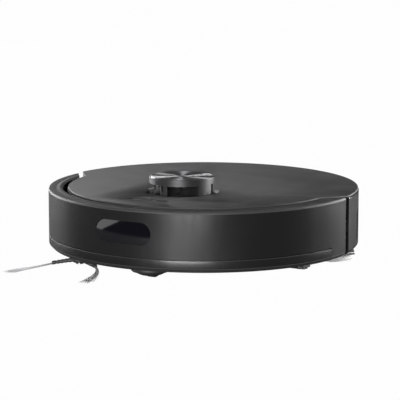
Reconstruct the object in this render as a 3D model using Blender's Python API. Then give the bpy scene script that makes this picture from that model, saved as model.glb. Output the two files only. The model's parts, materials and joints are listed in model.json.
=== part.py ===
"""Robot vacuum: a round floor cleaner with a scanning turret, a sprung bumper and a mop.

The frame stands on the floor under the centre of the round body: +Z is up, the front
points along -Y and the machine's left side along +X. Every size below is in millimetres
and is turned into metres where the mesh is made. Angles are measured from the front,
positive towards the left side.
"""

import math

import bmesh
import bpy
from mathutils import Vector
from mathutils.geometry import convex_hull_2d

MM = 0.001
GAP = 0.3

# Round body
BODY_R = 175.0
WALL_T = 2.6
WALL_BOTTOM = 19.6
WALL_CHAMFER = 3.8
WALL_LIP_R = 170.4
DECK_Z = 86.0
COVER_T = 2.6
BASE_Z = 13.0
BASE_T = 2.5
BASE_FLAT_R = 125.0
BASE_EDGE_R = 165.8
BASE_EDGE_Z = 20.0
BASE_LIP_Z = 34.0
INNER_WALL_R = 154.0
INNER_WALL_BOTTOM = 37.0
PLATE_TOP = DECK_Z - COVER_T - 0.5
PLATE_T = 2.5

# Bumper
BUMPER_HALF = 92.7
RIM_R = 158.7
RIM_UNDER = 80.5
GROOVE_Z = 33.0
GROOVE_HALF = 82.4
GROOVE_W = 1.4
REAR_START = 95.7

# Air slots, one stack on each side
SLOTS = 10
SLOT_ANGLE = 112.7
SLOT_L = 38.0
SLOT_H = 1.6
SLOT_LOW = 34.5
SLOT_PITCH = 3.2
SLOT_TILT = 13.0

# Window in the bumper
WINDOW_W = 69.0
WINDOW_H = 24.6
WINDOW_Z = DECK_Z - 26.5

# Top cover
COVER_FRONT_R = 152.6
COVER_REAR_R = 174.2
SHOULDER_FRONT = 85.6
SHOULDER_REAR = 95.0

# Turret
TURRET = (0.0, -48.5)
TURRET_R = 36.0
TURRET_TOP = DECK_Z + 17.2
TURRET_FOOT = DECK_Z - 6.0
SLIT_BOTTOM = DECK_Z + 0.4
SLIT_TOP = DECK_Z + 10.0
WELL_R = 41.0
TURRET_WINDOWS = ((4.0, 62.0), (94.0, 106.0), (113.0, 184.0), (192.0, 262.0), (270.0, 356.0))
ROTOR_R = 24.0
PULLEY_R = 30.0
LIDAR_MOTOR_X = 52.0
MOTOR_PULLEY_R = 5.0
BELT_T = 1.2

# Buttons
BUTTON_Y = -117.0
BUTTON_SPAN = 48.0
BUTTON_DEPTH = 12.0
BUTTON_TOP = DECK_Z - 0.8

# Drive wheels
WHEEL_X = 117.0
WHEEL_Y = 10.0
WHEEL_R = 35.0
WHEEL_W = 20.0
TYRE_T = 6.0
ARM_X = (92.0, 103.5)
ARM_PIVOT = (-32.0, 42.0)
MOTOR_AXIS = (12.0, 52.0)
WELL_X = (90.0, 130.0)
WELL_Y = (-41.0, 52.0)

# Caster
CASTER = (0.0, -115.0)
CASTER_TRAIL = 4.0
CASTER_R = 12.0
CASTER_W = 12.0
FORK_R = 18.2
SOCKET_R = 22.2
CASTER_TOP = 28.4

# Suction fan behind the left wheel, mirrored by the speaker on the right
FAN = (116.0, 84.0)

# Main brush
ROLLER_Y = -35.0
ROLLER_Z = 23.0
ROLLER_R = 21.0
ROLLER_HALF = 82.0
HOUSING_X = 88.0
HOUSING_Y = (-64.0, -6.0)

# Side brush
SPINNER = (-98.0, -107.0)
SLEEVE_L = 31.0
SLEEVE_HEADINGS = (218.0, 338.0, 98.0)
BRISTLE_TIPS = ((-51.0, -65.0), (54.0, -70.0), (-36.0, 70.0))

# Rear tank, mop and the bay that holds them
TANK_X = 92.0
TANK_Y = 56.0
TANK_TOP = 78.6
LID_T = 2.7
MOP_CORNER = (141.0, 54.0)
MOP_R = 171.5
MOP_SIDE_ANGLE = 117.5

FINISHES = {
    "shell": ((0.045, 0.045, 0.047), 0.42, 0.0),
    "deck": ((0.060, 0.060, 0.062), 0.50, 0.0),
    "inner": ((0.030, 0.030, 0.031), 0.60, 0.0),
    "window": ((0.004, 0.004, 0.005), 0.08, 0.0),
    "metal": ((0.300, 0.300, 0.305), 0.28, 1.0),
    "steel": ((0.560, 0.560, 0.570), 0.30, 1.0),
    "rubber": ((0.020, 0.020, 0.021), 0.80, 0.0),
    "bristle": ((0.420, 0.420, 0.430), 0.60, 0.0),
    "grey": ((0.300, 0.300, 0.310), 0.55, 0.0),
    "cloth": ((0.700, 0.700, 0.710), 0.90, 0.0),
    "board": ((0.020, 0.110, 0.060), 0.45, 0.0),
    "cell": ((0.060, 0.090, 0.220), 0.50, 0.0),
    "copper": ((0.720, 0.450, 0.200), 0.35, 1.0),
}


def clear_scene():
    """Remove every object that the file opened with."""
    for obj in list(bpy.data.objects):
        bpy.data.objects.remove(obj, do_unlink=True)


def material(name, finish):
    """Make one Principled material from a named finish."""
    colour, roughness, metallic = FINISHES[finish]
    mat = bpy.data.materials.new(name)
    mat.use_nodes = True
    shader = mat.node_tree.nodes["Principled BSDF"]
    shader.inputs["Base Color"].default_value = (*colour, 1.0)
    shader.inputs["Roughness"].default_value = roughness
    shader.inputs["Metallic"].default_value = metallic
    return mat


def new_object(bm, name, finish=None, origin=(0.0, 0.0, 0.0)):
    """Turn a bmesh in millimetres into an object whose origin is at the given point."""
    bmesh.ops.recalc_face_normals(bm, faces=bm.faces)
    shift = Vector(origin)
    for vert in bm.verts:
        vert.co = (vert.co - shift) * MM
    mesh = bpy.data.meshes.new(name)
    bm.to_mesh(mesh)
    bm.free()
    mesh.shade_smooth()
    mesh.set_sharp_from_angle(angle=math.radians(32))
    obj = bpy.data.objects.new(name, mesh)
    obj.location = shift * MM
    bpy.context.collection.objects.link(obj)
    if finish:
        mesh.materials.append(material(name, finish))
    else:
        obj.hide_render = True
        obj.display_type = "WIRE"
    return obj


def polar(radius, angle, centre=(0.0, 0.0)):
    """Point in plan at an angle in degrees from the front."""
    turn = math.radians(angle)
    return centre[0] + radius * math.sin(turn), centre[1] - radius * math.cos(turn)


def arc(radius, start, end, steps, centre=(0.0, 0.0)):
    """Points along an arc in plan, both ends included."""
    return [polar(radius, start + (end - start) * i / steps, centre) for i in range(steps + 1)]


def stadium(width, height, steps=10):
    """Outline of a slot with round ends, centred on zero and lying along the first axis."""
    radius = height / 2
    side = width / 2 - radius
    points = []
    for centre, start in ((side, -90.0), (-side, 90.0)):
        for i in range(steps + 1):
            turn = math.radians(start + 180.0 * i / steps)
            points.append((centre + radius * math.cos(turn), radius * math.sin(turn)))
    return points


def hull(circles, steps=20):
    """Convex outline around circles given as (x, y, radius)."""
    points = []
    for x, y, radius in circles:
        for i in range(steps):
            turn = 2 * math.pi * i / steps
            points.append((x + radius * math.cos(turn), y + radius * math.sin(turn)))
    return [points[i] for i in convex_hull_2d(points)]


def extruded(outline, low, high, axis="Z"):
    """Prism on an outline. Axis Z takes (x, y), axis X takes (y, z), axis Y takes (x, z)."""
    place = {
        "Z": lambda a, b, h: (a, b, h),
        "X": lambda a, b, h: (h, a, b),
        "Y": lambda a, b, h: (a, h, b),
    }[axis]
    bm = bmesh.new()
    rings = [[bm.verts.new(place(a, b, h)) for a, b in outline] for h in (low, high)]
    for ring in rings:
        bm.faces.new(ring)
    count = len(outline)
    for i in range(count):
        j = (i + 1) % count
        bm.faces.new((rings[0][i], rings[0][j], rings[1][j], rings[1][i]))
    return bm


def box(low, high):
    """Box between two corners."""
    (x0, y0, z0), (x1, y1, z1) = low, high
    return extruded([(x0, y0), (x1, y0), (x1, y1), (x0, y1)], z0, z1)


def turned(profile, centre=(0.0, 0.0), start=0.0, sweep=360.0, steps=72, axis="Z"):
    """Sweep a closed (radius, height) profile round an upright axis, or round X."""
    whole = sweep >= 360.0
    bm = bmesh.new()
    rings = []
    for i in range(steps if whole else steps + 1):
        angle = start + sweep * i / steps
        ring = []
        for k, (radius, height) in enumerate(profile):
            if radius == 0.0 and rings:
                ring.append(rings[0][k])
                continue
            a, b = polar(radius, angle, centre)
            ring.append(bm.verts.new((a, b, height) if axis == "Z" else (height, a, b)))
        rings.append(ring)
    spans = list(zip(rings, rings[1:]))
    if whole:
        spans.append((rings[-1], rings[0]))
    else:
        bm.faces.new(rings[0])
        bm.faces.new(rings[-1])
    count = len(profile)
    for ring, following in spans:
        for k in range(count):
            m = (k + 1) % count
            corners = [ring[k], ring[m], following[m], following[k]]
            corners = list(dict.fromkeys(corners))
            if len(corners) > 2:
                bm.faces.new(corners)
    return bm


def cylinder(radius, low, high, centre=(0.0, 0.0), steps=24, axis="Z"):
    """Plain round bar, its corners turned off the axes so that cuts stay clean."""
    profile = [(0.0, low), (radius, low), (radius, high), (0.0, high)]
    return turned(profile, centre, 2.0, steps=steps, axis=axis)


def radial_box(angle, radii, width, heights, tilt=0.0):
    """Box that faces outwards at an angle, turned by a tilt about its own radius."""
    bm = box((-width / 2, radii[0], heights[0]), (width / 2, radii[1], heights[1]))
    middle = sum(heights) / 2
    lean = math.radians(tilt)
    turn = math.radians(angle)
    for vert in bm.verts:
        x, r, z = vert.co.x, vert.co.y, vert.co.z - middle
        side = x * math.cos(lean) - z * math.sin(lean)
        vert.co = (
            r * math.sin(turn) + side * math.cos(turn),
            -r * math.cos(turn) + side * math.sin(turn),
            middle + x * math.sin(lean) + z * math.cos(lean),
        )
    return bm


def combine(obj, operation, cutters):
    """Add one Boolean for each cutter."""
    for i, bm in enumerate(cutters):
        cutter = new_object(bm, f"guide_{obj.name}_{i}")
        step = obj.modifiers.new(f"{operation.lower()}_{i}", "BOOLEAN")
        step.operation = operation
        step.solver = "EXACT"
        step.object = cutter


def cut(obj, *cutters):
    """Remove each cutter from the object."""
    combine(obj, "DIFFERENCE", cutters)


def add(obj, *pieces):
    """Join each piece to the object as one solid."""
    combine(obj, "UNION", pieces)


def outer_wall(start, sweep, steps, top):
    """Closed profile of the body's side wall, chamfered below and thick at the foot."""
    inner = BODY_R - WALL_T
    profile = [
        (WALL_LIP_R, WALL_BOTTOM),
        (BODY_R - WALL_CHAMFER, WALL_BOTTOM),
        (BODY_R, WALL_BOTTOM + WALL_CHAMFER),
        *top,
        (inner, 40.0),
        (WALL_LIP_R, 38.0),
    ]
    return turned(profile, start=start, sweep=sweep, steps=steps)


def base_height(radius):
    """Height of the base's underside at a distance from the middle."""
    slope = (BASE_EDGE_Z - BASE_Z) / (BASE_EDGE_R - BASE_FLAT_R)
    return BASE_Z + max(0.0, radius - BASE_FLAT_R) * slope


def sensor_places():
    """Angle of each downward-looking drop sensor."""
    return (-72.0, -14.0, 20.0, 72.0)


def build_base():
    """Bottom tray with its wells, and the pieces let into its underside."""
    lip = BASE_EDGE_R - BASE_T
    profile = [
        (0.0, BASE_Z),
        (BASE_FLAT_R, BASE_Z),
        (BASE_EDGE_R, BASE_EDGE_Z),
        (BASE_EDGE_R, BASE_LIP_Z),
        (lip, BASE_LIP_Z),
        (lip, BASE_EDGE_Z + BASE_T),
        (BASE_FLAT_R, BASE_Z + BASE_T),
        (0.0, BASE_Z + BASE_T),
    ]
    tray = new_object(turned(profile), "base_tray", "inner")
    door = ((26.0, -101.0, BASE_Z - 0.6), (86.0, -69.0, BASE_Z + BASE_T))
    grow = Vector((GAP, GAP, 4.0))
    cutters = [
        box((-HOUSING_X + 3, HOUSING_Y[0] + 3, 5.0), (HOUSING_X - 3, HOUSING_Y[1] - 3, 40.0)),
        box((-TANK_X - 0.6, TANK_Y - 0.6, 5.0), (TANK_X + 0.6, 180.0, 40.0)),
        cylinder(SOCKET_R + GAP, 5.0, 30.0, CASTER, 32),
        cylinder(4.0, 5.0, 30.0, SPINNER, 20),
        box(Vector(door[0]) - grow, Vector(door[1]) + grow),
    ]
    for side in (-1, 1):
        xs = sorted((side * WELL_X[0], side * WELL_X[1]))
        cutters.append(box((xs[0], WELL_Y[0], 5.0), (xs[1], WELL_Y[1], 40.0)))
    for i, angle in enumerate(sensor_places()):
        low = base_height(150.0) - 0.6
        sensor = radial_box(angle, (145.0, 155.0), 16.0, (low, low + 6.0))
        new_object(sensor, f"drop_sensor_{i + 1}", "window")
        cutters.append(radial_box(angle, (145.0 - GAP, 155.0 + GAP), 16.6, (low - 4, low + 10)))
    for name, side in (("left", 1), ("right", -1)):
        xs = sorted((side * 32.0, side * 52.0))
        strip = ((xs[0], -129.0, BASE_Z + 0.4), (xs[1], -119.0, BASE_Z + 4.4))
        new_object(box(*strip), f"charge_contact_{name}", "copper")
        cutters.append(box(Vector(strip[0]) - grow, Vector(strip[1]) + grow))
    cut(tray, *cutters)
    new_object(box(*door), "battery_door", "inner")


def build_shell():
    """Rear half of the side wall with its two stacks of slanted air slots."""
    inner = BODY_R - WALL_T
    top = PLATE_TOP + 0.2
    sweep = 360.0 - 2 * REAR_START
    wall = outer_wall(REAR_START, sweep, 36, [(BODY_R, top), (inner, top)])
    shell = new_object(wall, "rear_shell", "shell")
    bay = box((-TANK_X - 0.6, 120.0, 10.0), (TANK_X + 0.6, 190.0, TANK_TOP + 0.4))
    slots = []
    for side in (-1, 1):
        for i in range(SLOTS):
            low = SLOT_LOW + i * SLOT_PITCH
            heights = (low, low + SLOT_H)
            slots.append(radial_box(side * SLOT_ANGLE, (160.0, 190.0), SLOT_L, heights, side * SLOT_TILT))
    cut(shell, bay, *slots)


def build_frame():
    """Inner frame: the plate under the top cover and the wall behind the bumper."""
    inner = INNER_WALL_R - PLATE_T
    profile = [
        (0.0, PLATE_TOP - PLATE_T),
        (inner, PLATE_TOP - PLATE_T),
        (inner, INNER_WALL_BOTTOM),
        (INNER_WALL_R, INNER_WALL_BOTTOM),
        (INNER_WALL_R, PLATE_TOP),
        (0.0, PLATE_TOP),
    ]
    frame = new_object(turned(profile, steps=48), "inner_frame", "inner")
    slot = [(x, y + BUTTON_Y) for x, y in stadium(BUTTON_SPAN + 3, BUTTON_DEPTH + 3)]
    cut(
        frame,
        cylinder(WELL_R + 2.0, 70.0, 90.0, TURRET, 36),
        extruded(slot, 70.0, 90.0),
        box((-180.0, TANK_Y, 20.0), (180.0, 190.0, TANK_TOP)),
    )


def build_inside():
    """Electrical and air-handling pieces fixed inside the body."""
    new_object(box((27.0, -100.0, 16.4), (85.0, -70.0, 38.0)), "battery", "cell")
    new_object(box((-56.0, -2.0, 58.0), (56.0, 50.0, 60.0)), "main_board", "board")
    fan = [
        (0.0, 24.0),
        (19.0, 24.0),
        (19.0, 46.0),
        (13.0, 48.0),
        (13.0, 62.0),
        (0.0, 62.0),
    ]
    blower = new_object(turned(fan, FAN, steps=28), "suction_fan", "grey")
    add(blower, radial_box(118.0, (150.0, 169.0), 18.0, (35.0, 45.0)))
    duct = new_object(box((-32.0, -5.6, 21.0), (32.0, 55.6, 43.0)), "suction_duct", "inner")
    cut(duct, box((-29.5, -20.0, 23.5), (29.5, 70.0, 40.5)))
    new_object(cylinder(18.0, 50.0, 62.0, (-FAN[0], FAN[1]), 24), "speaker", "inner")
    drive = (ROLLER_Y - 13.0, 59.6)
    case = hull([(ROLLER_Y, ROLLER_Z, 6.8), (*drive, 9.0)], 20)
    brush_motor = new_object(extruded(case, HOUSING_X + GAP, ARM_X[0] - 0.4, "X"), "brush_motor", "grey")
    add(brush_motor, cylinder(9.0, 34.0, HOUSING_X + 1.0, drive, 20, "X"))
    for name, side in (("left", 1), ("right", -1)):
        switch = radial_box(side * 42.0, (INNER_WALL_R + GAP, 161.0), 14.0, (48.0, 56.0))
        lever = radial_box(side * 42.0, (160.5, 167.0), 3.0, (51.0, 53.0))
        body = new_object(switch, f"bumper_switch_{name}", "grey")
        add(body, lever)
    camera = new_object(box((-30.0, -162.0, 49.0), (30.0, -155.0, 70.0)), "camera_module", "inner")
    barrels = [
        turned([(0.0, -165.8), (5.0, -165.8), (5.0, -161.0), (0.0, -161.0)], steps=20)
        for _ in range(2)
    ]
    for bm, x in zip(barrels, (-16.0, 16.0)):
        for vert in bm.verts:
            vert.co = (vert.co.x + x, vert.co.z, vert.co.y + WINDOW_Z)
    add(camera, *barrels)


def build_bumper():
    """Sprung front bumper: shell with its rim, lower strip and dark window."""
    inner = BODY_R - WALL_T
    rim = [
        (BODY_R, DECK_Z - 2.6),
        (BODY_R - 0.9, DECK_Z - 0.9),
        (BODY_R - 9.2, DECK_Z - 1.6),
        (BODY_R - 12.8, DECK_Z - 0.2),
        (RIM_R, DECK_Z - 1.2),
        (RIM_R, RIM_UNDER),
        (inner, RIM_UNDER),
    ]
    wall = outer_wall(-BUMPER_HALF, 2 * BUMPER_HALF, 36, rim)
    shell = new_object(wall, "bumper_shell", "shell")
    lip = BODY_R - 2.4
    groove = turned(
        [(lip, 15.0), (BODY_R + 5, 15.0), (BODY_R + 5, GROOVE_Z + GROOVE_W), (lip, GROOVE_Z + GROOVE_W)],
        start=-GROOVE_HALF,
        sweep=2 * GROOVE_HALF,
        steps=33,
    )
    window = [(x, z + WINDOW_Z) for x, z in stadium(WINDOW_W, WINDOW_H)]
    ends = []
    for side in (-1, 1):
        wedge = [(174.9, 8.3), (158.0, -15.0), (150.0, -15.0), (150.0, 20.0), (182.0, 20.0)]
        ends.append(extruded([(side * x, y) for x, y in wedge], RIM_UNDER - 1.5, 95.0))
    cut(shell, groove, extruded(window, -185.0, -160.0, "Y"), *ends)

    reveal = lip + GAP
    foot = WALL_BOTTOM + WALL_CHAMFER - (BODY_R - reveal)
    strip = turned(
        [(reveal, foot), (BODY_R, WALL_BOTTOM + WALL_CHAMFER), (BODY_R, GROOVE_Z), (reveal, GROOVE_Z)],
        start=0.25 - GROOVE_HALF,
        sweep=2 * GROOVE_HALF - 0.5,
        steps=33,
    )
    new_object(strip, "bumper_strip", "shell")

    pane_profile = [(171.4, 40.0), (174.3, 40.0), (174.3, 80.0), (171.4, 80.0)]
    pane = new_object(turned(pane_profile, start=-16.0, sweep=32.0, steps=12), "camera_window", "window")
    inset = [(x, z + WINDOW_Z) for x, z in stadium(WINDOW_W - 2 * GAP, WINDOW_H - 2 * GAP)]
    combine(pane, "INTERSECT", [extruded(inset, -185.0, -160.0, "Y")])


def build_cover():
    """Lift-off top cover, wide behind and stepped in behind the bumper's rim."""
    outline = arc(COVER_FRONT_R, -SHOULDER_FRONT, SHOULDER_FRONT, 36)
    outline += arc(COVER_REAR_R, SHOULDER_REAR, 360.0 - SHOULDER_REAR, 36)
    plate = extruded(outline, DECK_Z - COVER_T, DECK_Z)
    cover = new_object(plate, "top_cover", "deck")
    slot = [(x, y + BUTTON_Y) for x, y in stadium(BUTTON_SPAN, BUTTON_DEPTH)]
    cut(cover, cylinder(WELL_R, 80.0, 90.0, TURRET, 44), extruded(slot, 80.0, 90.0))


def build_buttons():
    """Two push buttons that share one round-ended slot."""
    outline = stadium(BUTTON_SPAN - 2 * GAP, BUTTON_DEPTH - 2 * GAP)
    for name, side in (("power_button", -1), ("home_button", 1)):
        half = [(max(0.4, side * x) * side, y + BUTTON_Y) for x, y in outline]
        half = list(dict.fromkeys(half))
        key = extruded(half, BUTTON_TOP - 7.0, BUTTON_TOP)
        new_object(key, name, "deck", (side * BUTTON_SPAN / 4, BUTTON_Y, BUTTON_TOP))


def build_turret():
    """Scanning turret: fixed dish, pressable cap with metal disc, turning head, belt drive."""
    floor = PLATE_TOP - 9.0
    dish = [
        (0.0, floor),
        (WELL_R + 1.6, floor),
        (WELL_R + 1.6, PLATE_TOP),
        (WELL_R - 0.4, PLATE_TOP),
        (WELL_R - 0.7, DECK_Z - 1.2),
        (WELL_R - 2.9, DECK_Z - 3.4),
        (WELL_R - 2.9, floor + 2.2),
        (0.0, floor + 2.2),
    ]
    base = new_object(turned(dish, TURRET, 1.0, steps=40), "turret_dish", "inner")
    notch = box((-46.0, TURRET[1] - 33.0, floor + 2.4), (-30.0, TURRET[1] + 33.0, floor + 6.0))
    cut(base, notch)

    origin = (*TURRET, TURRET_FOOT)
    hood = [
        (0.0, TURRET_TOP - 5.5),
        (TURRET_R - 2.7, TURRET_TOP - 5.5),
        (TURRET_R - 2.7, TURRET_FOOT),
        (TURRET_R, TURRET_FOOT),
        (TURRET_R, TURRET_TOP - 0.8),
        (TURRET_R - 0.8, TURRET_TOP),
        (TURRET_R - 1.4, TURRET_TOP),
        (TURRET_R - 1.4, TURRET_TOP - 3.0),
        (0.0, TURRET_TOP - 3.0),
    ]
    cap = new_object(turned(hood, TURRET, 2.5, steps=40), "turret_cap", "shell", origin)
    slit = [(28.0, SLIT_BOTTOM), (40.0, SLIT_BOTTOM), (40.0, SLIT_TOP), (28.0, SLIT_TOP)]
    windows = []
    for start, end in TURRET_WINDOWS:
        steps = max(2, round((end - start) / 7.5))
        windows.append(turned(slit, TURRET, start, end - start, steps))
    cut(cap, *windows)
    rim = TURRET_R - 1.4 - GAP
    disc = [
        (0.0, TURRET_TOP - 3.0 + GAP),
        (rim, TURRET_TOP - 3.0 + GAP),
        (rim, TURRET_TOP - 0.4),
        (rim - 0.4, TURRET_TOP),
        (0.0, TURRET_TOP),
    ]
    new_object(turned(disc, TURRET, steps=40), "turret_disc", "metal", origin)

    seat = floor + 2.6
    head = [
        (0.0, seat),
        (PULLEY_R, seat),
        (PULLEY_R, seat + 2.6),
        (ROTOR_R, seat + 3.2),
        (ROTOR_R, TURRET_TOP - 8.0),
        (ROTOR_R - 1.0, TURRET_TOP - 7.2),
        (0.0, TURRET_TOP - 7.2),
    ]
    spin = (*TURRET, seat)
    rotor = new_object(turned(head, TURRET, 1.0, steps=28), "turret_rotor", "inner", spin)
    front = TURRET[1] - ROTOR_R
    cut(rotor, box((-16.0, front - 2, SLIT_BOTTOM + 0.6), (16.0, front + 6, SLIT_TOP - 1.8)))

    motor_at = (-LIDAR_MOTOR_X, TURRET[1])
    can = [
        (0.0, 56.0),
        (8.0, 56.0),
        (8.0, floor + 0.6),
        (1.5, floor + 0.6),
        (1.5, seat),
        (MOTOR_PULLEY_R, seat),
        (MOTOR_PULLEY_R, seat + 2.6),
        (0.0, seat + 2.6),
    ]
    new_object(turned(can, motor_at, steps=20), "turret_motor", "steel")
    loops = []
    for extra in (BELT_T + GAP, GAP):
        circles = [(*TURRET, PULLEY_R + extra), (*motor_at, MOTOR_PULLEY_R + extra)]
        loops.append(hull(circles, 40))
    belt = new_object(extruded(loops[0], seat + 0.4, seat + 1.9), "turret_belt", "rubber")
    cut(belt, extruded(loops[1], seat - 2, seat + 5))


def build_wheel(name, side):
    """One drive wheel on its sprung arm with the motor that turns it."""
    axle = (WHEEL_Y, WHEEL_R)
    pivot = (side * sum(ARM_X) / 2, *ARM_PIVOT)
    xs = sorted(side * x for x in ARM_X)
    outline = hull([(*ARM_PIVOT, 8.0), (*axle, 13.0), (*MOTOR_AXIS, 14.0)], 24)
    arm = new_object(extruded(outline, *xs, "X"), f"{name}_wheel_arm", "grey", pivot)
    cut(arm, cylinder(5.2, 80.0 * side, 120.0 * side, axle, 20, "X"))
    pin = cylinder(4.0, side * (ARM_X[0] + 1.0), side * (ARM_X[1] + 3.5), ARM_PIVOT, 20, "X")
    add(arm, pin)
    can = cylinder(12.0, side * 61.0, side * (ARM_X[0] - GAP), MOTOR_AXIS, 24, "X")
    new_object(can, f"{name}_wheel_motor", "steel", pivot)

    centre = (side * WHEEL_X, *axle)
    half = WHEEL_W / 2
    bore = WHEEL_R - TYRE_T
    tyre = [
        (bore, WHEEL_X - half),
        (WHEEL_R - 1.5, WHEEL_X - half),
        (WHEEL_R, WHEEL_X - half + 1.5),
        (WHEEL_R, WHEEL_X + half - 1.5),
        (WHEEL_R - 1.5, WHEEL_X + half),
        (bore, WHEEL_X + half),
    ]
    ring = turned([(r, side * x) for r, x in tyre], axle, steps=36, axis="X")
    new_object(ring, f"{name}_tyre", "rubber", centre)
    hub = [
        (0.0, ARM_X[0] + 1.0),
        (5.0, ARM_X[0] + 1.0),
        (5.0, ARM_X[1] + 0.6),
        (11.0, ARM_X[1] + 0.6),
        (11.0, WHEEL_X - half + 2.0),
        (bore - GAP, WHEEL_X - half + 2.0),
        (bore - GAP, WHEEL_X + half - 1.5),
        (bore - 4.0, WHEEL_X + half - 1.5),
        (bore - 6.0, WHEEL_X + half - 5.0),
        (9.0, WHEEL_X + half - 5.0),
        (8.0, WHEEL_X + half - 2.0),
        (0.0, WHEEL_X + half - 2.0),
    ]
    rim = turned([(r, side * x) for r, x in hub], axle, steps=24, axis="X")
    new_object(rim, f"{name}_wheel_hub", "inner", centre)


def build_caster():
    """Front swivel caster in its round socket."""
    top = CASTER_TOP
    socket = [
        (FORK_R + 0.5, 8.4),
        (SOCKET_R - 2.0, 7.4),
        (SOCKET_R, 9.4),
        (SOCKET_R, top + 4.0),
        (4.4, top + 4.0),
        (4.4, top + GAP),
        (FORK_R + 0.5, top + GAP),
    ]
    new_object(turned(socket, CASTER, steps=24), "caster_socket", "inner")
    swivel = (*CASTER, top)
    fork = [
        (0.0, 3.4),
        (FORK_R - 7.0, 3.4),
        (FORK_R - 1.8, 6.2),
        (FORK_R, 9.6),
        (FORK_R, top),
        (4.0, top),
        (4.0, top + 6.0),
        (0.0, top + 6.0),
    ]
    body = new_object(turned(fork, CASTER, 2.0, steps=24), "caster_fork", "inner", swivel)
    axle = (CASTER[1] + CASTER_TRAIL, CASTER_R)
    slot = CASTER_R + 0.8
    half = CASTER_W / 2
    cut(
        body,
        box((-half - 0.6, axle[0] - slot, -5.0), (half + 0.6, axle[0] + slot, axle[1] + slot)),
        cylinder(1.55, -12.0, 12.0, axle, 16, "X"),
    )
    tread = [
        (1.7, -half),
        (CASTER_R - 1.2, -half),
        (CASTER_R, -half + 1.6),
        (CASTER_R, half - 1.6),
        (CASTER_R - 1.2, half),
        (1.7, half),
    ]
    spin = (0.0, *axle)
    new_object(turned(tread, axle, steps=24, axis="X"), "caster_wheel", "rubber", spin)
    new_object(cylinder(1.5, -11.0, 11.0, axle, 16, "X"), "caster_axle", "steel", swivel)


def build_roller():
    """Main brush: its trough, the turning roller with chevron fins, bearings and guard."""
    y0, y1 = HOUSING_Y
    trough = new_object(box((-HOUSING_X, y0, 16.0), (HOUSING_X, y1, 50.0)), "brush_trough", "inner")
    cut(
        trough,
        box((-HOUSING_X + 2.5, y0 + 2.5, 10.0), (HOUSING_X - 2.5, y1 - 2.5, 47.5)),
        box((-29.5, y1 - 8.0, 23.5), (29.5, y1 + 8.0, 40.5)),
    )
    fins = 6
    core = 13.0
    half_tip = 3.0
    sections = 12
    bm = bmesh.new()
    rings = []
    for s in range(sections + 1):
        x = -ROLLER_HALF + 2 * ROLLER_HALF * s / sections
        twist = 75.0 * (1.0 - abs(x) / ROLLER_HALF)
        ring = []
        for fin in range(fins):
            heading = 360.0 * fin / fins + twist
            for radius, offset in (
                (core, -15.0),
                (ROLLER_R, -half_tip),
                (ROLLER_R, half_tip),
                (core, 15.0),
            ):
                y, z = polar(radius, heading + offset, (ROLLER_Y, ROLLER_Z))
                ring.append(bm.verts.new((x, y, z)))
        rings.append(ring)
    bm.faces.new(rings[0])
    bm.faces.new(rings[-1])
    count = fins * 4
    for ring, following in zip(rings, rings[1:]):
        for k in range(count):
            m = (k + 1) % count
            bm.faces.new((ring[k], ring[m], following[m]))
            bm.faces.new((ring[k], following[m], following[k]))
    centre = (0.0, ROLLER_Y, ROLLER_Z)
    new_object(bm, "brush_roller", "rubber", centre)
    for name, side in (("left", 1), ("right", -1)):
        xs = sorted((side * (ROLLER_HALF + GAP), side * (HOUSING_X - 3.4)))
        cap = cylinder(9.0, *xs, (ROLLER_Y, ROLLER_Z), 24, "X")
        new_object(cap, f"roller_bearing_{name}", "grey")
    guard = new_object(box((-90.0, -68.0, 9.6), (90.0, -2.0, 12.7)), "brush_guard", "grey")
    cut(guard, box((-85.0, -60.5, 5.0), (85.0, -9.5, 15.0)))


def bristle_bundle(start, tip, heading, reach):
    """Flattened bundle that leaves the sleeve along its heading and bends to its tip."""
    run = reach - SLEEVE_L
    lead = Vector(polar(0.45 * run, heading + 90.0))
    first, last = Vector(start), Vector(tip)
    middle = first + lead
    steps = 8
    bm = bmesh.new()
    rings = []
    for i in range(steps + 1):
        t = i / steps
        point = first * (1 - t) ** 2 + middle * 2 * t * (1 - t) + last * t * t
        along = ((middle - first) * (1 - t) + (last - middle) * t).normalized()
        across = Vector((-along.y, along.x))
        width = 1.3 + 2.6 * t
        z = 1.0 + 4.6 * (1 - t) ** 2.4
        half = 0.8 - 0.3 * t
        ring = []
        for k in range(6):
            turn = 2 * math.pi * k / 6
            spot = point + across * width * math.cos(turn)
            ring.append(bm.verts.new((spot.x, spot.y, z + half * math.sin(turn))))
        rings.append(ring)
    bm.faces.new(rings[0])
    bm.faces.new(rings[-1])
    for ring, following in zip(rings, rings[1:]):
        for k in range(6):
            m = (k + 1) % 6
            bm.faces.new((ring[k], ring[m], following[m], following[k]))
    return bm


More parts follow.
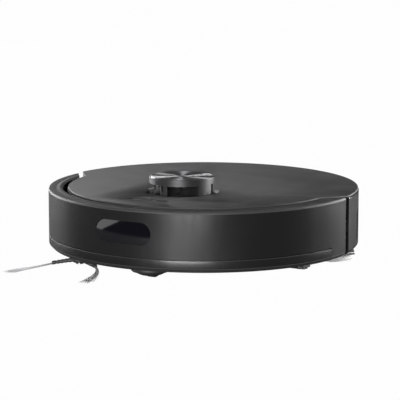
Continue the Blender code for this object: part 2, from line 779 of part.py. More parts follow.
def build_spinner():
    """Three-armed side brush with its screw and the gear motor above it."""
    hub_low, hub_high = 4.2, 14.2
    origin = (*SPINNER, hub_high)
    profile = [
        (2.6, hub_low + 1.6),
        (7.2, hub_low + 1.6),
        (9.0, hub_low + 3.4),
        (9.0, hub_high - 1.2),
        (3.2, hub_high),
        (3.2, 20.2),
        (0.0, 20.2),
        (0.0, hub_high),
        (2.6, hub_high),
    ]
    hub = new_object(turned(profile, SPINNER, steps=24), "spinner_hub", "rubber", origin)
    arms = []
    for number, (heading, reach) in enumerate(zip(SLEEVE_HEADINGS, BRISTLE_TIPS)):
        bm = cylinder(3.0, 6.5, SLEEVE_L, (0.0, 0.0), 12, "X")
        turn = math.radians(heading)
        for vert in bm.verts:
            along, side, up = vert.co
            drop = 9.0 - 3.2 * (along - 6.5) / (SLEEVE_L - 6.5)
            vert.co = (
                SPINNER[0] + along * math.cos(turn) - side * math.sin(turn),
                SPINNER[1] + along * math.sin(turn) + side * math.cos(turn),
                drop + 0.75 * up,
            )
        arms.append(bm)
        root = SLEEVE_L + GAP
        start = (SPINNER[0] + root * math.cos(turn), SPINNER[1] + root * math.sin(turn))
        tip = (SPINNER[0] + reach[0], SPINNER[1] + reach[1])
        bundle = bristle_bundle(start, tip, heading, math.hypot(*reach))
        new_object(bundle, f"spinner_bristles_{number + 1}", "bristle", origin)
    add(hub, *arms)
    screw = [
        (0.0, hub_low),
        (4.4, hub_low),
        (4.4, hub_low + 1.3),
        (2.3, hub_low + 1.3),
        (2.3, hub_high - GAP),
        (0.0, hub_high - GAP),
    ]
    new_object(turned(screw, SPINNER, steps=20), "spinner_screw", "steel", origin)
    new_object(cylinder(12.0, 22.0, 35.0, SPINNER, 24), "spinner_motor", "grey")


def tank_outline():
    """Plan of the rear tank: straight front and sides, round back."""
    turn = 180.0 - math.degrees(math.asin(TANK_X / BODY_R))
    return [(-TANK_X, TANK_Y), (TANK_X, TANK_Y), *arc(BODY_R, turn, 360.0 - turn, 16)]


def mop_outline(inset):
    """Plan of the mop: straight front, slightly tapered sides, round back."""
    turn = MOP_SIDE_ANGLE + inset * 0.4
    corner = (MOP_CORNER[0] - inset, MOP_CORNER[1] + inset)
    rear = arc(MOP_R - inset, turn, 360.0 - turn, 24)
    return [(-corner[0], corner[1]), corner, *rear]


def build_tank():
    """Pull-out rear tank with lid, filter, release button, and the mop beneath it."""
    rear = (0.0, BODY_R, TANK_TOP / 2)
    lid_low = TANK_TOP - LID_T
    bin_body = extruded(tank_outline(), WALL_BOTTOM, lid_low - GAP)
    tank = new_object(bin_body, "dust_tank", "shell", rear)
    cut(
        tank,
        box((-TANK_X + 3, TANK_Y + 3, 24.0), (TANK_X - 3, 146.0, 95.0)),
        box((-29.5, TANK_Y - 8, 25.0), (29.5, TANK_Y + 8, 40.5)),
        box((-16.0, 168.0, 59.5), (16.0, 182.0, 70.5)),
    )
    new_object(extruded(tank_outline(), lid_low, TANK_TOP), "tank_lid", "inner", rear)
    filter_box = box((TANK_X - 14.0, 74.0, 28.0), (TANK_X - 3.0 - GAP, 130.0, 70.0))
    new_object(filter_box, "tank_filter", "cloth", rear)
    latch = (0.0, BODY_R - 1.5, 65.0)
    button = box((-15.5, 171.0, 60.0), (15.5, 174.4, 70.0))
    new_object(button, "tank_release_button", "shell", latch)

    plate = new_object(extruded(mop_outline(0.0), 7.3, 10.6), "mop_plate", "grey", rear)
    add(plate, box((-80.0, 62.0, 10.0), (80.0, 138.0, WALL_BOTTOM - GAP)))
    new_object(extruded(mop_outline(2.5), 0.4, 7.0), "mop_cloth", "cloth", rear)


def main():
    """Build every piece."""
    clear_scene()
    build_base()
    build_shell()
    build_frame()
    build_inside()
    build_bumper()
    build_cover()
    build_buttons()
    build_turret()
    build_wheel("left", 1)
    build_wheel("right", -1)
    build_caster()
    build_roller()
    build_spinner()
    build_tank()


main()
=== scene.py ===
"""Finished look of a round robot vacuum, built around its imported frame.

Meshes are made in millimetres and stored in metres. Angles in plan are measured from the
machine's front, positive towards its left side.
"""

from __future__ import annotations

import json
import logging
import math
from dataclasses import dataclass, field
from enum import Enum
from typing import Callable, Iterable, Sequence

import bmesh
import bpy
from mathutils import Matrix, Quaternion, Vector

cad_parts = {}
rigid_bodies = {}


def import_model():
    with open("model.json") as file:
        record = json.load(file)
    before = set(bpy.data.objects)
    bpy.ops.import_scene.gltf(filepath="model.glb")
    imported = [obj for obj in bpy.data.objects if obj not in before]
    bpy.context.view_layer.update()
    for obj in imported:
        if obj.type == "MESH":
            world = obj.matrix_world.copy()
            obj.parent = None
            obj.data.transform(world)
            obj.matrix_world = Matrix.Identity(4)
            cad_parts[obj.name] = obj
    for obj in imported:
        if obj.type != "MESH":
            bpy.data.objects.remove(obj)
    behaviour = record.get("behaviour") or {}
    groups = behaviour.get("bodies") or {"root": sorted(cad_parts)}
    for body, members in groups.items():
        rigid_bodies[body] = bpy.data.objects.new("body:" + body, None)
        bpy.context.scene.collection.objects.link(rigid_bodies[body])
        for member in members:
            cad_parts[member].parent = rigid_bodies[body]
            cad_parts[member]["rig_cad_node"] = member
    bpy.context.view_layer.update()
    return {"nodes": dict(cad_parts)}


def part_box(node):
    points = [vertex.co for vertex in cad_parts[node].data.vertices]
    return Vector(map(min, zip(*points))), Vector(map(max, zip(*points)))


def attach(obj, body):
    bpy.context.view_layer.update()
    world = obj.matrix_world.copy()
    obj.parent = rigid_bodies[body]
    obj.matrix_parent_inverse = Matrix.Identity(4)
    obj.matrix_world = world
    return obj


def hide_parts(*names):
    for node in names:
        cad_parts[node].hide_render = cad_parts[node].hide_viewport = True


LOG = logging.getLogger("robot_vacuum")
MM = 0.001
AIM_HEIGHT = 0.05  # metres above the ground that the softboxes point at
# Shares of a face normal: sideways on a cut's own face, upward on an upright or a steep face,
# and upward on a face that counts as tilted; then the least length of a usable shading normal.
SIDE_LIMIT = 0.06
UPRIGHT_LIMIT = 0.02
STEEP_LIMIT = 0.3
TILT_LIMIT = 0.03
SHORTEST_NORMAL = 0.5

Plan = tuple[float, float]
Point = tuple[float, float, float]
Colour = tuple[float, float, float]
Links = dict[str | int, object]


class Slot(Enum):
    """Material slots of the record."""

    BODY = "body_plastic"
    DECK = "deck_plastic"
    INNER = "inner_plastic"
    WINDOW = "window_gloss"
    DISC = "brushed_disc"
    STEEL = "steel"
    RUBBER = "rubber"
    TYRE = "tyre"
    BRISTLE = "bristle"
    GREY = "grey_plastic"
    CLOTH = "mop_fabric"
    BOARD = "board"
    CELL = "cell"
    CONTACT = "contact"


# --------------------------------------------------------------------------------------
# Meshes
# --------------------------------------------------------------------------------------


def polar(radius: float, angle: float, centre: Plan = (0.0, 0.0)) -> Plan:
    """Point in plan at a distance and an angle in degrees from the front."""
    turn = math.radians(angle)
    return centre[0] + radius * math.sin(turn), centre[1] - radius * math.cos(turn)


def arc(radius: float, start: float, end: float, steps: int) -> list[Plan]:
    """Points along an arc in plan round the body's centre, both ends included."""
    return [polar(radius, start + (end - start) * i / steps) for i in range(steps + 1)]


def stadium(width: float, height: float, steps: int = 16) -> list[Plan]:
    """Outline of a slot with round ends, centred on zero, counter-clockwise."""
    radius = height / 2
    points = []
    for centre, start in ((width / 2 - radius, -90.0), (radius - width / 2, 90.0)):
        for i in range(steps + 1):
            turn = math.radians(start + 180.0 * i / steps)
            points.append((centre + radius * math.cos(turn), radius * math.sin(turn)))
    return points


def rounded(corners: Sequence[Point], steps: int = 4) -> list[Plan]:
    """Round the corners of a closed outline.

    Args:
        corners: (a, b, radius) of each corner; a radius of 0 keeps it sharp.
        steps: segments in each rounded corner.

    Returns:
        The outline's points in order.
    """
    points: list[Plan] = []
    count = len(corners)
    for i, (a, b, radius) in enumerate(corners):
        here = Vector((a, b))
        if radius <= 0.0:
            points.append((a, b))
            continue
        before = Vector(corners[i - 1][:2]) - here
        after = Vector(corners[(i + 1) % count][:2]) - here
        reach = min(radius, 0.49 * before.length, 0.49 * after.length)
        start = here + before.normalized() * reach
        end = here + after.normalized() * reach
        for k in range(steps + 1):
            t = k / steps
            spot = start * (1 - t) ** 2 + here * 2 * t * (1 - t) + end * t * t
            points.append((spot.x, spot.y))
    return points


def turned(
    profile: Sequence[Plan],
    centre: Plan = (0.0, 0.0),
    start: float = 0.0,
    sweep: float = 360.0,
    steps: int = 120,
    axis: str = "Z",
) -> bmesh.types.BMesh:
    """Sweep a closed profile round an axis.

    Args:
        profile: (radius, height) points; a radius of 0 lies on the axis.
        centre: the axis in plan, or in (y, z) when it lies along X.
        start: first angle in degrees.
        sweep: angle covered; 360 closes the ring.
        steps: segments round the sweep.
        axis: Z for an upright axis, X for one from side to side.

    Returns:
        A closed mesh in millimetres.
    """
    whole = sweep >= 360.0
    bm = bmesh.new()
    rings: list[list[bmesh.types.BMVert]] = []
    for i in range(steps if whole else steps + 1):
        ring = []
        for k, (radius, height) in enumerate(profile):
            if radius == 0.0 and rings:
                ring.append(rings[0][k])
                continue
            a, b = polar(radius, start + sweep * i / steps, centre)
            ring.append(bm.verts.new((a, b, height) if axis == "Z" else (height, a, b)))
        rings.append(ring)
    spans = list(zip(rings, rings[1:]))
    if whole:
        spans.append((rings[-1], rings[0]))
    else:
        bm.faces.new(rings[0])
        bm.faces.new(rings[-1])
    count = len(profile)
    for ring, following in spans:
        for k in range(count):
            m = (k + 1) % count
            corners = list(dict.fromkeys((ring[k], ring[m], following[m], following[k])))
            if len(corners) > 2:
                bm.faces.new(corners)
    return bm


def extruded(outline: Sequence[Plan], low: float, high: float, soft: float = 0.0) -> bmesh.types.BMesh:
    """Upright plate on an outline, its top edge rounded over.

    Args:
        outline: points in plan, counter-clockwise.
        low: underside height.
        high: top height.
        soft: radius of the rounded top edge.

    Returns:
        A closed mesh in millimetres.
    """
    rounds = 4 if soft else 0
    levels = [(0.0, low)]
    for k in range(rounds + 1):
        turn = math.radians(90.0 * k / rounds) if rounds else 0.0
        levels.append((soft * (1 - math.cos(turn)), high - soft * (1 - math.sin(turn))))
    count = len(outline)
    normals = []
    for i in range(count):
        ahead = Vector(outline[(i + 1) % count]) - Vector(outline[i])
        behind = Vector(outline[i]) - Vector(outline[i - 1])
        along = (ahead.normalized() + behind.normalized()).normalized()
        normals.append(Vector((along.y, -along.x)))
    bm = bmesh.new()
    rings = []
    for inset, z in levels:
        spots = [Vector(p) - n * inset for p, n in zip(outline, normals)]
        rings.append([bm.verts.new((s.x, s.y, z)) for s in spots])
    bm.faces.new(rings[0])
    bm.faces.new(rings[-1])
    for lower, upper in zip(rings, rings[1:]):
        for i in range(count):
            j = (i + 1) % count
            bm.faces.new((lower[i], lower[j], upper[j], upper[i]))
    return bm


def box(low: Point, high: Point) -> bmesh.types.BMesh:
    """Plain box between two corners."""
    (x0, y0, z0), (x1, y1, z1) = low, high
    return extruded([(x0, y0), (x1, y0), (x1, y1), (x0, y1)], z0, z1)


def moved(bm: bmesh.types.BMesh, place: Callable[[Vector], Iterable[float]]) -> bmesh.types.BMesh:
    """Send every point of a mesh through a function."""
    for vert in bm.verts:
        vert.co = Vector(place(vert.co))
    return bm


def new_object(bm: bmesh.types.BMesh, name: str, sharp: float = 35.0) -> bpy.types.Object:
    """Store a mesh in metres as an object at the origin.

    Args:
        bm: mesh in millimetres.
        name: the piece's name.
        sharp: edges bent by more than this many degrees stay crisp.

    Returns:
        The new object.
    """
    bmesh.ops.recalc_face_normals(bm, faces=bm.faces)
    bmesh.ops.scale(bm, vec=(MM, MM, MM), verts=bm.verts)
    mesh = bpy.data.meshes.new(name)
    bm.to_mesh(mesh)
    bm.free()
    mesh.shade_smooth()
    mesh.set_sharp_from_angle(angle=math.radians(sharp))
    obj = bpy.data.objects.new(name, mesh)
    bpy.context.scene.collection.objects.link(obj)
    return obj


def flatten(obj: bpy.types.Object, sharp: float = 35.0) -> bpy.types.Object:
    """Turn an object and its modifiers into one plain mesh."""
    graph = bpy.context.evaluated_depsgraph_get()
    mesh = bpy.data.meshes.new_from_object(obj.evaluated_get(graph))
    obj.modifiers.clear()
    obj.data = mesh
    mesh.shade_smooth()
    mesh.set_sharp_from_angle(angle=math.radians(sharp))
    return obj


def evened(obj: bpy.types.Object, centre: Plan = (0.0, 0.0), lean: float = 0.0) -> bpy.types.Object:
    """Shade the turned faces of a piece as one true round surface.

    Args:
        obj: a piece made by turning about an upright axis, then cut.
        centre: the axis in plan, in millimetres.
        lean: extra upward tilt of the shading, for pillowed glass.

    Returns:
        The same object.
    """
    mesh = obj.data
    corners = [c.vector.copy() for c in mesh.corner_normals]
    for face in mesh.polygons:
        out = Vector((face.center.x - centre[0] * MM, face.center.y - centre[1] * MM, 0.0))
        side = Vector((-out.y, out.x, 0.0)).normalized()
        if abs(face.normal.dot(side)) > SIDE_LIMIT:
            continue
        for loop in face.loop_indices:
            spot = mesh.vertices[mesh.loops[loop].vertex_index].co
            around = Vector((centre[1] * MM - spot.y, spot.x - centre[0] * MM, 0.0)).normalized()
            level = corners[loop] - around * corners[loop].dot(around)
            if abs(face.normal.z) < UPRIGHT_LIMIT:
                level.z = 0.0
            if abs(face.normal.z) < STEEP_LIMIT:
                level.z += lean
            if level.length > SHORTEST_NORMAL:
                corners[loop] = level.normalized()
    mesh.normals_split_custom_set(corners)
    return obj


def carved(
    obj: bpy.types.Object, cutters: Sequence[bmesh.types.BMesh], operation: str = "DIFFERENCE"
) -> bpy.types.Object:
    """Cut, join or intersect an object with meshes and keep the plain result.

    Args:
        obj: the piece.
        cutters: meshes in millimetres.
        operation: the Boolean's name.

    Returns:
        The same object.
    """
    guides = []
    for bm in cutters:
        guide = new_object(bm, f"guide_{obj.name}")
        step = obj.modifiers.new("cut", "BOOLEAN")
        step.operation = operation
        step.solver = "EXACT"
        step.object = guide
        guides.append(guide)
    flatten(obj)
    for guide in guides:
        bpy.data.objects.remove(guide, do_unlink=True)
    return obj


def softened(node: str, width: float, name: str = "") -> bpy.types.Object:
    """Copy of a frame node with its sharp edges eased, to stand in for it.

    Args:
        node: the frame node.
        width: width of the eased edge in millimetres.
        name: the copy's name; the node's own with an ending if left out.

    Returns:
        The new object, in place of the hidden node.
    """
    source = bpy.data.objects[node]
    bm = bmesh.new()
    bm.from_mesh(source.data)
    bmesh.ops.remove_doubles(bm, verts=bm.verts, dist=0.5e-6)
    bmesh.ops.dissolve_limit(
        bm, angle_limit=math.radians(0.6), verts=bm.verts, edges=bm.edges, delimit={"NORMAL"}
    )
    limit = math.radians(34.0)
    edges = [e for e in bm.edges if e.is_manifold and e.calc_face_angle(0.0) > limit]
    bmesh.ops.bevel(
        bm,
        geom=edges,
        offset=width * MM,
        offset_type="OFFSET",
        segments=2,
        profile=0.6,
        affect="EDGES",
        clamp_overlap=True,
    )
    bmesh.ops.triangulate(bm, faces=[f for f in bm.faces if len(f.verts) > 4])
    mesh = bpy.data.meshes.new(name or f"{node}_eased")
    bm.to_mesh(mesh)
    bm.free()
    mesh.shade_smooth()
    mesh.set_sharp_from_angle(angle=math.radians(40.0))
    obj = bpy.data.objects.new(name or f"{node}_eased", mesh)
    bpy.context.scene.collection.objects.link(obj)
    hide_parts(node)
    return obj


def eased(obj: bpy.types.Object, width: float, segments: int = 2, angle: float = 50.0) -> bpy.types.Object:
    """Round a piece's crisp edges and keep the plain result.

    Args:
        obj: the piece.
        width: width of the rounding in millimetres.
        segments: faces across it.
        angle: edges bent by more than this many degrees are rounded.

    Returns:
        The same object.
    """
    step = obj.modifiers.new("eased", "BEVEL")
    step.width = width * MM
    step.segments = segments
    step.limit_method = "ANGLE"
    step.angle_limit = math.radians(angle)
    step.use_clamp_overlap = True
    step.harden_normals = True
    return flatten(obj, 60.0)


def box_mm(node: str) -> tuple[Vector, Vector]:
    """Lowest and highest corner of a frame node in millimetres."""
    low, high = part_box(node)
    return low / MM, high / MM


def middle_mm(node: str) -> Vector:
    """Middle of a frame node in millimetres."""
    low, high = box_mm(node)
    return (low + high) / 2


# --------------------------------------------------------------------------------------
# Shader trees
# --------------------------------------------------------------------------------------


class NodeBuilder:
    """Adds nodes to a tree one at a time."""

    def __init__(self, tree: bpy.types.NodeTree) -> None:
        """Keep the tree that the nodes go into."""
        self.tree = tree

    def add(self, kind: str, links: Links | None = None, **settings: object) -> bpy.types.Node:
        """Add a node.

        Args:
            kind: the node's type name.
            links: input name or number to a socket or a plain value.
            settings: properties set on the node.

        Returns:
            The node.
        """
        node = self.tree.nodes.new(kind)
        for key, value in settings.items():
            setattr(node, key, value)
        for key, value in (links or {}).items():
            if isinstance(value, bpy.types.NodeSocket):
                self.tree.links.new(value, node.inputs[key])
            else:
                node.inputs[key].default_value = value
        return node

    def maths(self, operation: str, *values: object) -> bpy.types.NodeSocket:
        """Math node on up to three values."""
        return self.add("ShaderNodeMath", dict(enumerate(values)), operation=operation).outputs[0]


class ShaderTree(NodeBuilder):
    """Builder for materials and shader groups."""

    def ramp(
        self, value: object, low: float, high: float, start: float = 0.0, end: float = 1.0
    ) -> bpy.types.NodeSocket:
        """Map a value from one span to another, clamped."""
        links = {"Value": value, "From Min": low, "From Max": high, "To Min": start, "To Max": end}
        return self.add("ShaderNodeMapRange", links, clamp=True).outputs["Result"]

    def mix(self, factor: object, first: object, second: object) -> bpy.types.NodeSocket:
        """Blend two colours."""
        node = self.add("ShaderNodeMix", data_type="RGBA")
        for key, value in (("Factor_Float", factor), ("A_Color", first), ("B_Color", second)):
            socket = next(s for s in node.inputs if s.identifier == key)
            if isinstance(value, bpy.types.NodeSocket):
                self.tree.links.new(value, socket)
            else:
                socket.default_value = value
        return next(s for s in node.outputs if s.identifier == "Result_Color")

    def coords(self) -> bpy.types.NodeSocket:
        """Object coordinates in metres."""
        return self.add("ShaderNodeTexCoord").outputs["Object"]

    def noise(
        self, vector: object, scale: object, detail: float = 2.0, stretch: Point = (1.0, 1.0, 1.0)
    ) -> bpy.types.NodeSocket:
        """Noise value, optionally on stretched coordinates."""
        spot = self.add("ShaderNodeMapping", {"Vector": vector, "Scale": stretch}).outputs[0]
        node = self.add("ShaderNodeTexNoise", {"Vector": spot, "Scale": scale, "Detail": detail})
        return node.outputs["Fac"]


class Group(Enum):
    """Shared surface effects."""

    GRAIN = "Moulded grain"
    WEAR = "Edge wear"
    DUST = "Settled dust"
    BRUSHED = "Turned brushing"


def group_tree(
    group: Group, inputs: Sequence[tuple[str, str, object]], outputs: Sequence[tuple[str, str]]
) -> tuple[ShaderTree, bpy.types.Node, bpy.types.Node]:
    """Start a shader group with named sockets.

    Args:
        group: which effect.
        inputs: (name, kind, value) of each input; kind is Float, Color or Vector.
        outputs: (name, kind) of each output.

    Returns:
        The builder, the group's input node and its output node.
    """
    tree = bpy.data.node_groups.new(group.value, "ShaderNodeTree")
    for name, kind, value in inputs:
        socket = tree.interface.new_socket(name, in_out="INPUT", socket_type=f"NodeSocket{kind}")
        socket.default_value = value
    for name, kind in outputs:
        tree.interface.new_socket(name, in_out="OUTPUT", socket_type=f"NodeSocket{kind}")
    build = ShaderTree(tree)
    return build, build.add("NodeGroupInput"), build.add("NodeGroupOutput")


def grain_group() -> bpy.types.NodeTree:
    """Fine moulded texture with slow changes of gloss."""
    inputs = [
        ("Scale", "Float", 900.0),
        ("Roughness", "Float", 0.4),
        ("Spread", "Float", 0.06),
    ]
    build, take, give = group_tree(Group.GRAIN, inputs, [("Height", "Float"), ("Roughness", "Float")])
    spot = build.coords()
    fine = build.noise(spot, take.outputs["Scale"], 3.0)
    slow = build.noise(spot, 22.0, 3.0)
    streak = build.noise(spot, 160.0, 2.0, (1.0, 1.0, 0.15))
    blend = build.maths("ADD", build.maths("MULTIPLY", slow, 0.7), build.maths("MULTIPLY", streak, 0.3))
    swing = build.ramp(blend, 0.3, 0.7, -1.0, 1.0)
    rough = build.maths("MULTIPLY_ADD", swing, take.outputs["Spread"], take.outputs["Roughness"])
    build.tree.links.new(fine, give.inputs["Height"])
    build.tree.links.new(rough, give.inputs["Roughness"])
    return build.tree


def wear_group() -> bpy.types.NodeTree:
    """Paler, rubbed corners where hands and furniture touch."""
    inputs = [
        ("Color", "Color", (0.02, 0.02, 0.02, 1.0)),
        ("Worn Color", "Color", (0.08, 0.08, 0.08, 1.0)),
        ("Width", "Float", 0.0006),
        ("Amount", "Float", 0.5),
    ]
    build, take, give = group_tree(Group.WEAR, inputs, [("Color", "Color"), ("Mask", "Float")])
    bevel = build.add("ShaderNodeBevel", {"Radius": take.outputs["Width"]}, samples=4)
    facing = build.add("ShaderNodeNewGeometry")
    dot = build.add(
        "ShaderNodeVectorMath",
        {0: bevel.outputs[0], 1: facing.outputs["Normal"]},
        operation="DOT_PRODUCT",
    )
    edge = build.ramp(dot.outputs["Value"], 0.995, 0.86)
    patch = build.ramp(build.noise(build.coords(), 240.0, 4.0), 0.38, 0.62)
    mask = build.maths("MULTIPLY", build.maths("MULTIPLY", edge, patch), take.outputs["Amount"])
    colour = build.mix(mask, take.outputs["Color"], take.outputs["Worn Color"])
    build.tree.links.new(colour, give.inputs["Color"])
    build.tree.links.new(mask, give.inputs["Mask"])
    return build.tree


def dust_group() -> bpy.types.NodeTree:
    """Thin dust that settles on what faces up, in soft patches."""
    inputs = [
        ("Color", "Color", (0.02, 0.02, 0.02, 1.0)),
        ("Dust Color", "Color", (0.30, 0.29, 0.27, 1.0)),
        ("Amount", "Float", 0.05),
    ]
    build, take, give = group_tree(Group.DUST, inputs, [("Color", "Color"), ("Mask", "Float")])
    facing = build.add("ShaderNodeNewGeometry").outputs["Normal"]
    up = build.add("ShaderNodeSeparateXYZ", {0: facing}).outputs["Z"]
    level = build.ramp(up, 0.5, 1.0)
    patch = build.ramp(build.noise(build.coords(), 38.0, 5.0), 0.35, 0.75)
    speck = build.ramp(build.noise(build.coords(), 1500.0, 1.0), 0.62, 0.72)
    cover = build.maths("MAXIMUM", patch, build.maths("MULTIPLY", speck, 0.8))
    mask = build.maths("MULTIPLY", build.maths("MULTIPLY", level, cover), take.outputs["Amount"])
    colour = build.mix(mask, take.outputs["Color"], take.outputs["Dust Color"])
    build.tree.links.new(colour, give.inputs["Color"])
    build.tree.links.new(mask, give.inputs["Mask"])
    return build.tree


def brushed_group() -> bpy.types.NodeTree:
    """Fine turned rings round an upright axis."""
    inputs = [
        ("Centre", "Vector", (0.0, 0.0, 0.0)),
        ("Rings", "Float", 5200.0),
        ("Roughness", "Float", 0.3),
    ]
    build, take, give = group_tree(Group.BRUSHED, inputs, [("Height", "Float"), ("Roughness", "Float")])
    spot = build.add(
        "ShaderNodeVectorMath", {0: build.coords(), 1: take.outputs["Centre"]}, operation="SUBTRACT"
    ).outputs["Vector"]
    flat = build.add("ShaderNodeVectorMath", {0: spot, 1: (1.0, 1.0, 0.0)}, operation="MULTIPLY")
    reach = build.add("ShaderNodeVectorMath", {0: flat.outputs[0]}, operation="LENGTH").outputs["Value"]
    track = build.maths("MULTIPLY", reach, take.outputs["Rings"])
    rings = build.add("ShaderNodeTexNoise", {"W": track, "Scale": 1.0, "Detail": 3.0}, noise_dimensions="1D")
    rough = build.ramp(rings.outputs["Fac"], 0.2, 0.8, -0.07, 0.07)
    build.tree.links.new(rings.outputs["Fac"], give.inputs["Height"])
    build.tree.links.new(
        build.maths("ADD", rough, take.outputs["Roughness"]), give.inputs["Roughness"]
    )
    return build.tree


class Effects:
    """The shared groups, each built once when it is first used."""

    MAKERS: dict[Group, Callable[[], bpy.types.NodeTree]] = {
        Group.GRAIN: grain_group,
        Group.WEAR: wear_group,
        Group.DUST: dust_group,
        Group.BRUSHED: brushed_group,
    }
    built: dict[Group, bpy.types.NodeTree] = {}

    @classmethod
    def place(cls, build: ShaderTree, group: Group, links: Links) -> bpy.types.Node:
        """Put a group into a material.

        Args:
            build: the material's builder.
            group: which effect.
            links: the group's inputs.

        Returns:
            The group node.
        """
        if group not in cls.built:
            cls.built[group] = cls.MAKERS[group]()
        return build.add("ShaderNodeGroup", links, node_tree=cls.built[group])


# --------------------------------------------------------------------------------------
# Finishes
# --------------------------------------------------------------------------------------


def shaded(name: str) -> tuple[bpy.types.Material, ShaderTree, bpy.types.Node]:
    """New material with its builder and Principled shader."""
    mat = bpy.data.materials.new(name)
    mat.use_nodes = True
    return mat, ShaderTree(mat.node_tree), mat.node_tree.nodes["Principled BSDF"]


@dataclass(frozen=True)
class Moulded:
    """Moulded plastic, rubber or lacquer with grain, rubbed edges and a little dust."""

    name: str
    slot: Slot
    colour: Colour
    roughness: float = 0.42
    spread: float = 0.05
    grain: float = 1100.0
    depth: float = 0.08
    worn: float = 0.35
    worn_gain: float = 3.0
    dust: float = 0.03
    specular: float = 0.5
    coat: float = 0.0
    metallic: float = 0.0

    def make(self) -> bpy.types.Material:
        """Build the material."""
        mat, build, shader = shaded(self.name)
        colour = (*self.colour, 1.0)
        rubbed = (*(min(1.0, c * self.worn_gain + 0.01) for c in self.colour), 1.0)
        wear = Effects.place(
            build, Group.WEAR, {"Color": colour, "Worn Color": rubbed, "Amount": self.worn}
        )
        dust = Effects.place(
            build, Group.DUST, {"Color": wear.outputs["Color"], "Amount": self.dust}
        )
        grain = Effects.place(
            build,
            Group.GRAIN,
            {"Scale": self.grain, "Roughness": self.roughness, "Spread": self.spread},
        )
        bump = build.add(
            "ShaderNodeBump",
            {"Strength": self.depth, "Distance": 0.0004, "Height": grain.outputs["Height"]},
        )
        rough = build.maths(
            "MULTIPLY_ADD", dust.outputs["Mask"], 0.6, grain.outputs["Roughness"]
        )
        links = mat.node_tree.links
        links.new(dust.outputs["Color"], shader.inputs["Base Color"])
        links.new(rough, shader.inputs["Roughness"])
        links.new(bump.outputs[0], shader.inputs["Normal"])
        shader.inputs["Specular IOR Level"].default_value = self.specular
        shader.inputs["Coat Weight"].default_value = self.coat
        shader.inputs["Metallic"].default_value = self.metallic
        return mat


@dataclass(frozen=True)
class TurnedMetal:
    """Dark metal disc with fine turned brushing round its middle."""

    name: str
    slot: Slot
    colour: Colour
    centre: Point
    roughness: float = 0.32
    anisotropy: float = 0.96

    def make(self) -> bpy.types.Material:
        """Build the material."""
        mat, build, shader = shaded(self.name)
        brush = Effects.place(
            build, Group.BRUSHED, {"Centre": self.centre, "Roughness": self.roughness}
        )
        wear = Effects.place(
            build,
            Group.WEAR,
            {"Color": (*self.colour, 1.0), "Worn Color": (0.75, 0.75, 0.76, 1.0), "Amount": 0.5},
        )
        bump = build.add(
            "ShaderNodeBump",
            {"Strength": 0.05, "Distance": 0.0001, "Height": brush.outputs["Height"]},
        )
        tangent = build.add("ShaderNodeTangent", direction_type="RADIAL", axis="Z")
        links = mat.node_tree.links
        links.new(wear.outputs["Color"], shader.inputs["Base Color"])
        links.new(brush.outputs["Roughness"], shader.inputs["Roughness"])
        links.new(bump.outputs[0], shader.inputs["Normal"])
        links.new(tangent.outputs[0], shader.inputs["Tangent"])
        shader.inputs["Metallic"].default_value = 1.0
        shader.inputs["Anisotropic"].default_value = self.anisotropy
        shader.inputs["Anisotropic Rotation"].default_value = 0.25
        return mat


@dataclass(frozen=True)
class Looped:
    """Microfibre cloth: soft loops with painted shade in the gaps between them, and slight soiling."""

    name: str
    slot: Slot
    colour: Colour
    shade: Colour

    def make(self) -> bpy.types.Material:
        """Build the material."""
        mat, build, shader = shaded(self.name)
        spot = build.coords()
        loops = build.add("ShaderNodeTexVoronoi", {"Vector": spot, "Scale": 620.0}).outputs["Distance"]
        patch = build.ramp(build.noise(spot, 45.0, 4.0), 0.3, 0.75)
        tone = build.mix(
            build.maths("MULTIPLY", patch, 0.5), (*self.colour, 1.0), (*self.shade, 1.0)
        )
        # Painted shade: the tone darkens towards the shade colour between the loops, where the loop
        # pattern's distance is large.
        deep = build.mix(build.ramp(loops, 0.25, 0.75, 0.0, 0.35), tone, (*self.shade, 1.0))
        bump = build.add("ShaderNodeBump", {"Strength": 0.7, "Distance": 0.0006, "Height": loops})
        links = mat.node_tree.links
        links.new(deep, shader.inputs["Base Color"])
        links.new(build.ramp(loops, 0.0, 1.0, 0.98, 0.82), shader.inputs["Roughness"])
        links.new(bump.outputs[0], shader.inputs["Normal"])
        shader.inputs["Sheen Weight"].default_value = 0.3
        return mat


@dataclass(frozen=True)
class Filament:
    """Nylon bristle whose tone changes along its length."""

    name: str
    slot: Slot
    root: Colour
    tip: Colour
    centre: Point
    near: float
    far: float

    def make(self) -> bpy.types.Material:
        """Build the material."""
        mat, build, shader = shaded(self.name)
        spot = build.coords()
        away = build.add(
            "ShaderNodeVectorMath", {0: spot, 1: self.centre}, operation="DISTANCE"
        ).outputs["Value"]
        along = build.ramp(away, self.near, self.far)
        tone = build.mix(along, (*self.root, 1.0), (*self.tip, 1.0))
        streak = build.ramp(build.noise(spot, 900.0, 2.0), 0.3, 0.7)
        varied = build.mix(build.maths("MULTIPLY", streak, 0.35), tone, (*self.root, 1.0))
        links = mat.node_tree.links
        links.new(varied, shader.inputs["Base Color"])
        links.new(build.ramp(streak, 0.0, 1.0, 0.38, 0.55), shader.inputs["Roughness"])
        return mat


